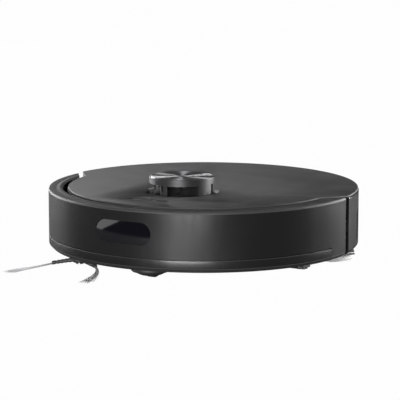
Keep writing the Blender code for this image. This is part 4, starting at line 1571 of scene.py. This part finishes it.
@dataclass
class DriveWheel(Assembly):
    """Drive wheel with a lugged tyre on its sprung arm."""

    name: str = "left"
    tread: float = 1.7
    lugs: int = 34
    spokes: int = 6

    def build(self) -> None:
        """Make the tyre and the hub."""
        low, high = box_mm(f"{self.name}_tyre")
        middle = (low + high) / 2
        self.axle: Plan = (middle.y, middle.z)
        side = 1 if middle.x > 0 else -1
        radius, half = (high.z - low.z) / 2, (high.x - low.x) / 2
        bore = radius - 6.0
        base = radius - self.tread
        section = rounded(
            [
                (bore, -half, 0.4),
                (base - 1.2, -half, 1.6),
                (base, -half + 2.2, 1.6),
                (base, half - 2.2, 1.6),
                (base - 1.2, half, 1.6),
                (bore, half, 0.4),
            ]
        )
        ring = turned([(r, x + middle.x) for r, x in section], self.axle, steps=96, axis="X")
        tyre = new_object(ring, f"{self.name}_tyre_tread")
        sizes = {
            "Centre": middle * MM,
            "Radius": base * MM,
            "Rows": self.lugs,
            "Lug": (8.6 * MM, 3.0 * MM, 2 * self.tread * MM * 0.97),
            "Offset": 4.7 * MM,
            "Slant": 0.35 * side,
            "Material": self.finishes.material("tyre"),
        }
        self.made["tyre"] = grown(tyre, tread_tree(), sizes)
        self.build_hub(side, middle.x, bore)

    def build_hub(self, side: int, centre: float, bore: float) -> None:
        """Make the hub with its spokes and centre cap.

        Args:
            side: 1 on the left, -1 on the right.
            centre: the wheel's middle along X.
            bore: radius of the tyre's bore.
        """
        low, high = box_mm(f"{self.name}_wheel_hub")
        inner = low.x if side > 0 else -high.x
        outer = side * centre + 10.0
        rim = bore - 0.3
        section = rounded(
            [
                (0.0, inner, 0.0),
                (5.0, inner, 0.4),
                (5.0, inner + 11.1, 0.3),
                (11.0, inner + 11.1, 0.4),
                (11.0, outer - 18.0, 0.4),
                (rim, outer - 18.0, 0.6),
                (rim, outer - 1.5, 0.8),
                (rim - 3.7, outer - 1.5, 0.8),
                (rim - 5.7, outer - 6.5, 1.0),
                (9.4, outer - 6.5, 1.2),
                (8.0, outer - 2.0, 1.2),
                (0.0, outer - 2.0, 0.0),
            ]
        )
        hub = turned([(r, side * x) for r, x in section], self.axle, steps=96, axis="X")
        hub = new_object(hub, f"{self.name}_wheel_disc")
        ribs = []
        for i in range(self.spokes):
            turn = math.radians(360.0 * i / self.spokes + 12.0)
            rib = box((outer - 8.0, -1.3, 8.5), (outer - 3.6, 1.3, rim - 4.4))

            def place(co: Vector, turn: float = turn) -> Point:
                """Swing a rib round the axle."""
                y = co.y * math.cos(turn) - co.z * math.sin(turn)
                z = co.y * math.sin(turn) + co.z * math.cos(turn)
                return side * co.x, self.axle[0] + y, self.axle[1] + z

            ribs.append(moved(rib, place))
        self.made["hub"] = carved(hub, ribs, "UNION")

    def dress(self) -> None:
        """Finish the wheel and its arm."""
        wheel = f"{self.name}_wheel"
        self.finishes.dress(self.made["tyre"], "tyre", wheel, f"{self.name}_tyre")
        self.finishes.dress(self.made["hub"], "grey", wheel, f"{self.name}_wheel_hub")
        arm = softened(f"{self.name}_wheel_arm", 0.6)
        self.finishes.dress(arm, "plate", f"{self.name}_arm", f"{self.name}_wheel_arm")
        self.keep("steel", f"{self.name}_wheel_motor")


@dataclass
class Caster(Assembly):
    """Swivel caster: domed fork, axle and small wheel in a round socket."""

    fork_radius: float = 18.2
    socket_radius: float = 22.2
    bore: float = 1.7

    def build(self) -> None:
        """Make the socket, fork and wheel."""
        low, high = box_mm("caster_socket")
        centre = tuple(middle_mm("caster_socket").xy)
        top = high.z - 4.0
        socket = rounded(
            [
                (self.fork_radius + 0.5, low.z + 1.0, 0.4),
                (self.socket_radius - 2.0, low.z, 0.6),
                (self.socket_radius, low.z + 2.0, 0.8),
                (self.socket_radius, high.z, 0.0),
                (4.4, high.z, 0.0),
                (4.4, top + 0.3, 0.0),
                (self.fork_radius + 0.5, top + 0.3, 0.0),
            ]
        )
        self.made["socket"] = new_object(turned(socket, centre, steps=96), "caster_housing")
        low, high = box_mm("caster_fork")
        fork = rounded(
            [
                (0.0, low.z, 0.0),
                (self.fork_radius - 7.0, low.z, 4.0),
                (self.fork_radius - 1.8, low.z + 2.8, 4.0),
                (self.fork_radius, low.z + 6.2, 2.5),
                (self.fork_radius, top, 0.6),
                (4.0, top, 0.0),
                (4.0, high.z, 0.4),
                (0.0, high.z, 0.0),
            ]
        )
        body = new_object(turned(fork, centre, 1.1, steps=96), "caster_swivel_body")
        low, high = box_mm("caster_wheel")
        middle = (low + high) / 2
        axle, radius, half = (middle.y, middle.z), (high.z - low.z) / 2, (high.x - low.x) / 2
        reach = radius + 0.8
        slot = box((-half - 0.6, axle[0] - reach, -5.0), (half + 0.6, axle[0] + reach, axle[1] + reach))
        hole = turned([(0.0, -12.0), (1.55, -12.0), (1.55, 12.0), (0.0, 12.0)], axle, steps=24, axis="X")
        self.made["fork"] = eased(carved(body, [slot, hole]), 0.4)
        tread = rounded(
            [
                (self.bore, -half, 0.3),
                (radius - 2.6, -half, 0.5),
                (radius - 2.2, -half + 0.6, 0.3),
                (radius - 1.2, -half + 0.2, 0.4),
                (radius, -half + 1.8, 1.2),
                (radius, half - 1.8, 1.2),
                (radius - 1.2, half - 0.2, 0.4),
                (radius - 2.2, half - 0.6, 0.3),
                (radius - 2.6, half, 0.5),
                (self.bore, half, 0.3),
            ]
        )
        self.made["wheel"] = new_object(turned(tread, axle, steps=72, axis="X"), "caster_roll")

    def dress(self) -> None:
        """Finish the caster's pieces."""
        self.finishes.dress(self.made["socket"], "base", "chassis", "caster_socket")
        self.finishes.dress(self.made["fork"], "base", "caster", "caster_fork")
        self.finishes.dress(self.made["wheel"], "tyre", "caster_roll", "caster_wheel")
        self.keep("steel", "caster_axle")


@dataclass
class MainBrush(Assembly):
    """Main brush roller with twisted rubber fins, its bearings, guard and trough."""

    core: float = 13.0
    fins: int = 6
    twist: float = 75.0
    sections: int = 48

    def build(self) -> None:
        """Make the roller with its fins."""
        low, high = box_mm("brush_roller")
        middle = (low + high) / 2
        axis, half = (middle.y, middle.z), (high.x - low.x) / 2
        tip = 21.0
        bm = bmesh.new()
        rings = []
        for s in range(self.sections + 1):
            x = -half + 2 * half * s / self.sections
            lead = self.twist * (1.0 - abs(x) / half)
            ring = []
            for fin in range(self.fins):
                heading = 360.0 * fin / self.fins + lead
                for reach, offset in (
                    (self.core, -17.0),
                    (self.core + 1.6, -6.5),
                    (tip - 0.4, -2.9),
                    (tip, -1.8),
                    (tip, 1.8),
                    (tip - 0.4, 2.9),
                    (self.core + 1.6, 6.5),
                    (self.core, 17.0),
                ):
                    y, z = polar(reach, heading + offset, axis)
                    ring.append(bm.verts.new((x, y, z)))
            rings.append(ring)
        bm.faces.new(rings[0])
        bm.faces.new(rings[-1])
        count = len(rings[0])
        for ring, following in zip(rings, rings[1:]):
            for k in range(count):
                m = (k + 1) % count
                bm.faces.new((ring[k], ring[m], following[m]))
                bm.faces.new((ring[k], following[m], following[k]))
        self.made["roller"] = new_object(bm, "brush_fins", 28.0)

    def dress(self) -> None:
        """Finish the brush and what holds it."""
        self.finishes.dress(self.made["roller"], "rubber", "main_brush", "brush_roller")
        self.finishes.dress(softened("brush_guard", 0.6), "grey", "chassis", "brush_guard")
        self.keep("inner", "brush_trough", "brush_motor")
        self.keep("grey", "roller_bearing_left", "roller_bearing_right")


@dataclass
class SideBrush(Assembly):
    """Three-armed side brush: hub with ribbed sleeves and loose bristle bundles."""

    sleeve: float = 31.0
    headings: tuple[float, ...] = (218.0, 338.0, 98.0)
    tips: tuple[Plan, ...] = ((-51.0, -65.0), (54.0, -70.0), (-36.0, 70.0))
    filaments: int = 110

    def build(self) -> None:
        """Make the hub with its sleeves and the three bundles."""
        low, high = box_mm("spinner_screw")
        centre = (low + high) / 2
        self.axis: Plan = (centre.x, centre.y)
        hub_low, hub_high = low.z, low.z + 10.0
        section = rounded(
            [
                (2.6, hub_low + 1.6, 0.3),
                (7.2, hub_low + 1.6, 1.2),
                (9.0, hub_low + 3.4, 1.2),
                (9.0, hub_high - 1.2, 1.0),
                (3.2, hub_high, 0.5),
                (3.2, 20.2, 0.0),
                (0.0, 20.2, 0.0),
                (0.0, hub_high, 0.0),
                (2.6, hub_high, 0.0),
            ]
        )
        hub = new_object(turned(section, self.axis, steps=72), "side_brush_hub")
        sleeves = [self.sleeve_mesh(heading) for heading in self.headings]
        self.made["hub"] = carved(hub, sleeves, "UNION")
        tree = bristle_tree()
        for number, (heading, reach) in enumerate(zip(self.headings, self.tips), 1):
            self.made[f"bundle_{number}"] = self.bundle(tree, number, heading, reach)

    def sleeve_mesh(self, heading: float) -> bmesh.types.BMesh:
        """Tapered, ribbed sleeve that leans down from the hub.

        Args:
            heading: its direction in degrees, counter-clockwise from +X.

        Returns:
            The sleeve's mesh in millimetres.
        """
        section = [(0.0, 6.5), (3.3, 6.5), (3.3, 11.0)]
        for i in range(4):
            at = 12.0 + 4.2 * i
            section += [(3.2 - 0.1 * i, at), (2.7 - 0.1 * i, at + 0.7), (2.7 - 0.1 * i, at + 1.6)]
            section += [(3.1 - 0.1 * i, at + 2.3)]
        section += [(2.9, 29.6), (2.5, self.sleeve), (0.0, self.sleeve)]
        turn = math.radians(heading)

        def place(co: Vector) -> Point:
            """Lay the sleeve along its heading."""
            along, side, up = co.z, co.x, co.y
            drop = 9.0 - 3.2 * (along - 6.5) / (self.sleeve - 6.5)
            return (
                self.axis[0] + along * math.cos(turn) - side * math.sin(turn),
                self.axis[1] + along * math.sin(turn) + side * math.cos(turn),
                drop + 0.75 * up,
            )

        return moved(turned(section, steps=28), place)

    def bundle(
        self, tree: bpy.types.NodeTree, number: int, heading: float, reach: Plan
    ) -> bpy.types.Object:
        """Grow one bundle of bristles.

        Args:
            tree: the bristle tree.
            number: the bundle's number.
            heading: the sleeve's direction.
            reach: the bundle's tip from the hub in plan.

        Returns:
            The bundle as a plain mesh.
        """
        turn = math.radians(heading)
        along = Vector((math.cos(turn), math.sin(turn), 0.0))
        root = Vector((*self.axis, 5.7)) + along * (self.sleeve - 3.0)
        run = math.hypot(*reach) - self.sleeve
        bend = root + along * (0.3 * run)
        bend.z = 2.4
        tip = Vector((self.axis[0] + reach[0], self.axis[1] + reach[1], 1.0))
        sizes = {
            "Start": root * MM,
            "Bend": bend * MM,
            "Tip": tip * MM,
            "Count": self.filaments,
            "Root Spread": Vector((1.1, 1.1, 0.7)) * MM,
            "Tip Spread": Vector((7.5, 7.5, 0.35)) * MM,
            "Thickness": 0.22 * MM,
            "Seed": 10 + number,
            "Material": self.finishes.material("bristle"),
        }
        return grown(empty_host(f"side_brush_bristles_{number}"), tree, sizes)

    def dress(self) -> None:
        """Finish the side brush."""
        self.finishes.dress(self.made["hub"], "rubber", "side_brush", "spinner_hub")
        for number in (1, 2, 3):
            node = f"spinner_bristles_{number}"
            self.finishes.dress(self.made[f"bundle_{number}"], "bristle", "side_brush", node)
        screw = empty_host("side_brush_screw", [(*self.axis, box_mm("spinner_screw")[0].z + 0.7)])
        sizes = {"Head": 4.4 * MM, "Height": 1.4 * MM, "Cross": 1.1 * MM}
        sizes["Material"] = self.finishes.material("steel")
        grown(screw, screw_tree(), sizes)
        self.finishes.dress(screw, "steel", "side_brush", "spinner_screw")
        self.keep("grey", "spinner_motor")


@dataclass
class RearTank(Assembly):
    """Pull-out rear tank with lid, filter and release button, and the mop under it."""

    radius: float = 175.0
    half_width: float = 92.0
    wall: float = 3.0
    mop_corner: Plan = (141.0, 54.0)
    mop_radius: float = 171.5
    mop_side: float = 117.5
    cloth_inset: float = 2.5

    def tank_outline(self) -> list[Plan]:
        """Plan of the tank: straight front and sides, round back."""
        turn = 180.0 - math.degrees(math.asin(self.half_width / self.radius))
        front = box_mm("dust_tank")[0].y
        corners = [(-self.half_width, front), (self.half_width, front)]
        return [*corners, *arc(self.radius, turn, 360.0 - turn, 80)]

    def mop_outline(self, inset: float) -> list[Plan]:
        """Plan of the mop, shrunk by an inset."""
        turn = self.mop_side + inset * 0.4
        x, y = self.mop_corner[0] - inset, self.mop_corner[1] + inset
        rear = arc(self.mop_radius - inset, turn, 360.0 - turn, 90)
        side = rear[0]
        return rounded([(-side[0], side[1], 0.0), (-x, y, 7.0), (x, y, 7.0), (*side, 0.0)], 8) + rear[1:-1]

    def build(self) -> None:
        """Make the tank, lid, button, mop plate and cloth."""
        low, high = box_mm("dust_tank")
        width, front = self.half_width, low.y
        tank = new_object(extruded(self.tank_outline(), low.z, high.z), "tank_body")
        hollow = box((3 - width, front + self.wall, 24.0), (width - self.wall, 146.0, 95.0))
        duct = box((-29.5, front - 8, 25.0), (29.5, front + 8, 40.5))
        key_low, key_high = box_mm("tank_release_button")
        pocket = box((key_low.x - 0.5, 168.0, key_low.z - 0.5), (key_high.x + 0.5, 182.0, key_high.z + 0.5))
        self.made["tank"] = eased(carved(tank, [hollow, duct, pocket]), 0.8, 3)
        low, high = box_mm("tank_lid")
        self.made["lid"] = eased(new_object(extruded(self.tank_outline(), low.z, high.z), "tank_top"), 0.5)
        key = new_object(box(tuple(key_low), tuple(key_high)), "tank_key")
        grips = [
            box((-10.0, key_high.y - 0.4, z - 0.45), (10.0, key_high.y + 1.0, z + 0.45))
            for z in (62.2, 65.0, 67.8)
        ]
        self.made["key"] = eased(carved(key, grips), 0.35, 2)
        self.build_mop()

    def build_mop(self) -> None:
        """Make the mop plate and its cloth."""
        low, high = box_mm("mop_plate")
        plate = new_object(extruded(self.mop_outline(0.0), low.z, low.z + 3.3, 0.8), "mop_carrier")
        block = box((-80.0, 62.0, low.z + 2.0), (80.0, 138.0, high.z))
        self.made["plate"] = eased(carved(plate, [block], "UNION"), 0.3)
        low, high = box_mm("mop_cloth")
        outline = self.mop_outline(self.cloth_inset)
        wide, deep = max(x for x, _ in outline), max(y for _, y in outline)
        self.flat = (2 * wide * MM, (deep - min(y for _, y in outline)) * MM)
        total = 0.0
        for (x0, y0), (x1, y1) in zip(outline, outline[1:] + outline[:1]):
            total += (x0 * y1 - x1 * y0) / 2
        self.area = abs(total) * MM * MM
        self.made["cloth"] = self.quilted(outline, low.z, high.z)

    def quilted(self, outline: Sequence[Plan], low: float, high: float) -> bpy.types.Object:
        """Cloth with a rolled edge, sewn line and gently uneven face.

        Args:
            outline: plan of the cloth.
            low: underside height.
            high: top height.

        Returns:
            The cloth.
        """
        centre = Vector((0.0, 105.0))
        bm = bmesh.new()
        rings = []
        thick = high - low
        for k in range(9):
            turn = math.pi * k / 8
            inset = 2.6 * (1.0 - math.sin(turn))
            z = (low + high) / 2 + thick / 2 * math.cos(turn)
            rings.append((inset, z))
        for inset, z in ((5.2, low + 0.9), (6.2, low + 1.3), (7.2, low + 0.8), (9.0, low + 0.1)):
            rings.append((inset, z))
        for share in (0.25, 0.5, 0.75):
            rings.append((9.0 + 44.0 * share, low + 0.25 * math.sin(9 * share)))
        loops = []
        for inset, z in [(9.0 + 44.0 * 0.6, high), (9.0, high), *rings]:
            loop = []
            for i, spot in enumerate(outline):
                point = Vector(spot)
                inward = (centre - point).normalized()
                place = point + inward * inset
                ripple = 0.12 * math.sin(0.9 * i) if inset > 0.5 else 0.0
                loop.append(bm.verts.new((place.x, place.y, max(low, z + ripple * (z < high - 0.5)))))
            loops.append(loop)
        count = len(outline)
        for first, second in zip(loops, loops[1:]):
            for i in range(count):
                j = (i + 1) % count
                bm.faces.new((first[i], first[j], second[j], second[i]))
        bm.faces.new(loops[0])
        bm.faces.new(loops[-1])
        return new_object(bm, "mop_microfibre", 60.0)

    def dress(self) -> None:
        """Finish the tank and the mop."""
        dress = self.finishes.dress
        dress(self.made["tank"], "shell", "tank", "dust_tank")
        dress(self.made["lid"], "inner", "tank", "tank_lid")
        dress(self.made["key"], "keys", "tank_latch", "tank_release_button")
        dress(self.made["plate"], "plate", "tank", "mop_plate")
        cloth = dress(self.made["cloth"], "cloth", "tank", "mop_cloth")
        self.keep("cloth", "tank_filter")


@dataclass
class Underside(Assembly):
    """Base tray with its battery door, sensors, contacts and screws."""

    screw_places: tuple[Point, ...] = (
        (-60.0, -92.0, 13.0),
        (60.0, 30.0, 13.0),
        (-60.0, 30.0, 13.0),
        (70.0, -110.0, 13.0),
        (-68.0, 46.0, 13.0),
        (68.0, 46.0, 13.0),
        (31.0, -97.0, 12.4),
        (81.0, -73.0, 12.4),
        (-87.5, -22.0, 9.6),
        (87.5, -22.0, 9.6),
        (-87.5, -50.0, 9.6),
        (87.5, -50.0, 9.6),
    )

    def build(self) -> None:
        """Make the screws from their places on the machine's underside."""
        screws = empty_host("underside_screws", self.screw_places)
        sizes = {
            "Head": 2.3 * MM,
            "Height": 0.9 * MM,
            "Cross": 0.6 * MM,
            "Material": self.finishes.material("steel"),
        }
        self.made["screws"] = grown(screws, screw_tree(), sizes)

    def dress(self) -> None:
        """Finish the underside."""
        self.finishes.dress(self.made["screws"], "steel", "chassis")
        self.keep("base", "base_tray")
        self.finishes.dress(softened("battery_door", 0.5), "base", "chassis", "battery_door")
        self.keep("window", "drop_sensor_1", "drop_sensor_2", "drop_sensor_3", "drop_sensor_4")
        self.keep("contact", "charge_contact_left", "charge_contact_right")


@dataclass
class Inside(Assembly):
    """Everything under the cover."""

    def dress(self) -> None:
        """Finish the hidden pieces."""
        self.keep("inner", "inner_frame", "suction_duct", "camera_module")
        self.keep("grey", "suction_fan", "speaker", "bumper_switch_left", "bumper_switch_right")
        self.keep("cell", "battery")
        self.keep("board", "main_board")


# --------------------------------------------------------------------------------------
# Stage
# --------------------------------------------------------------------------------------


@dataclass(frozen=True)
class Softbox:
    """Large soft light on a direction seen from the machine.

    turn is the direction in plan from the camera's side, positive to the right in view.
    """

    name: str
    turn: float
    rise: float
    distance: float
    size: Plan
    power: float
    roll: float = 0.0

    def place(self, azimuth: float) -> bpy.types.Object:
        """Put the light up.

        Args:
            azimuth: the camera's own direction in degrees.

        Returns:
            The light.
        """
        light = bpy.data.lights.new(self.name, "AREA")
        light.shape = "RECTANGLE"
        light.size, light.size_y = self.size
        light.energy = self.power
        obj = bpy.data.objects.new(self.name, light)
        bpy.context.scene.collection.objects.link(obj)
        out = direction(azimuth + self.turn, self.rise)
        obj.location = Vector((0.0, 0.0, AIM_HEIGHT)) + out * self.distance
        facing = out.to_track_quat("Z", "Y") @ Quaternion((0.0, 0.0, 1.0), math.radians(self.roll))
        obj.rotation_euler = facing.to_euler()
        return obj


def direction(azimuth: float, elevation: float) -> Vector:
    """Unit vector towards an azimuth (0 is the front, 90 the left side) and elevation."""
    turn, rise = math.radians(azimuth), math.radians(elevation)
    return Vector((math.sin(turn) * math.cos(rise), -math.cos(turn) * math.cos(rise), math.sin(rise)))


@dataclass
class Studio:
    """Camera, lights, world and floor."""

    azimuth: float = 30.0
    elevation: float = 9.19
    distance: float = 2.3
    lens: float = 183.06
    aim_right: float = -0.0041
    aim_up: float = -0.0171
    floor_half: float = 4000.0
    floor_drop: float = -0.4
    floor_glow: float = 0.985
    softboxes: tuple[Softbox, ...] = (
        Softbox("front_left_box", -13.0, 8.0, 2.6, (1.4, 1.1), 195.0),
        Softbox("right_side_box", 95.0, 8.0, 2.6, (0.7, 1.1), 32.0),
        Softbox("right_rear_box", 117.0, 8.0, 2.6, (1.3, 1.1), 180.0),
        Softbox("left_rear_box", -129.0, 8.0, 2.6, (1.3, 1.1), 130.0),
        Softbox("far_left_box", -157.0, 8.0, 2.6, (1.4, 1.1), 20.0),
        Softbox("top_rear_box", 180.0, 60.0, 2.4, (2.2, 1.2), 4.0),
        Softbox("window_card", -71.0, 10.5, 2.6, (2.0, 0.8), 7.0, 21.0),
    )

    def build(self) -> None:
        """Put up camera, lights, world and floor."""
        scene = bpy.context.scene
        scene.view_settings.view_transform = "Standard"
        self.build_camera(scene)
        for softbox in self.softboxes:
            softbox.place(self.azimuth)
        self.build_world(scene)
        self.build_floor()

    def build_camera(self, scene: bpy.types.Scene) -> None:
        """Stand the camera in front of the machine, a little to its left."""
        camera = bpy.data.cameras.new("camera")
        camera.lens = self.lens
        camera.sensor_width = 36.0
        obj = bpy.data.objects.new("camera", camera)
        scene.collection.objects.link(obj)
        scene.camera = obj
        out = direction(self.azimuth, self.elevation)
        target = Vector((0.0, 0.0, box_mm("top_cover")[1].z * MM))
        right = direction(self.azimuth + 90.0, 0.0)
        up = right.cross(-out)
        obj.location = target + out * self.distance
        aim = target + right * self.aim_right + up * self.aim_up
        obj.rotation_euler = (aim - obj.location).to_track_quat("-Z", "Y").to_euler()

    def build_world(self, scene: bpy.types.Scene) -> None:
        """Make the world white to the lens and almost black to the machine."""
        world = bpy.data.worlds.new("studio_world")
        world.use_nodes = True
        scene.world = world
        build = ShaderTree(world.node_tree)
        world.node_tree.nodes.clear()
        path = build.add("ShaderNodeLightPath").outputs["Is Camera Ray"]
        tone = build.mix(path, (0.004, 0.004, 0.004, 1.0), (1.0, 1.0, 1.0, 1.0))
        shine = build.add("ShaderNodeBackground", {"Color": tone, "Strength": 1.0})
        out = build.add("ShaderNodeOutputWorld")
        world.node_tree.links.new(shine.outputs[0], out.inputs["Surface"])

    def build_floor(self) -> None:
        """Lay a wide floor, white to the lens and dark to the machine."""
        bm = bmesh.new()
        half = self.floor_half
        corners = [(-half, -half), (half, -half), (half, half), (-half, half)]
        bm.faces.new([bm.verts.new((x, y, self.floor_drop)) for x, y in corners])
        floor = new_object(bm, "studio_floor")
        mat, build, shader = shaded("studio floor")
        shader.inputs["Base Color"].default_value = (0.02, 0.02, 0.02, 1.0)
        shader.inputs["Roughness"].default_value = 0.9
        glow = build.add("ShaderNodeEmission", {"Color": (1.0, 1.0, 1.0, 1.0), "Strength": 1.0})
        path = build.add("ShaderNodeLightPath").outputs["Is Camera Ray"]
        shown = build.maths("MULTIPLY", path, self.floor_glow)
        blend = build.add("ShaderNodeMixShader", {0: shown, 1: shader.outputs[0], 2: glow.outputs[0]})
        out = next(n for n in mat.node_tree.nodes if n.type == "OUTPUT_MATERIAL")
        mat.node_tree.links.new(blend.outputs[0], out.inputs["Surface"])
        floor.data.materials.append(mat)


def main() -> None:
    """Build the machine round its frame."""
    logging.basicConfig(level=logging.INFO, format="%(name)s: %(message)s")
    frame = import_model()
    nodes = frame["nodes"]
    finishes = Finishes(tuple(middle_mm("turret_disc") * MM), tuple(middle_mm("spinner_screw") * MM))
    assemblies: list[Assembly] = [
        Bumper(finishes, nodes),
        RearWall(finishes, nodes),
        TopCover(finishes, nodes),
        Turret(finishes, nodes),
        DriveWheel(finishes, nodes, "left"),
        DriveWheel(finishes, nodes, "right"),
        Caster(finishes, nodes),
        MainBrush(finishes, nodes),
        SideBrush(finishes, nodes),
        RearTank(finishes, nodes),
        Underside(finishes, nodes),
        Inside(finishes, nodes),
    ]
    for assembly in assemblies:
        assembly.build()
        assembly.dress()
        LOG.info("%s done", type(assembly).__name__)
    Studio().build()


if __name__ == "__main__":
    main()
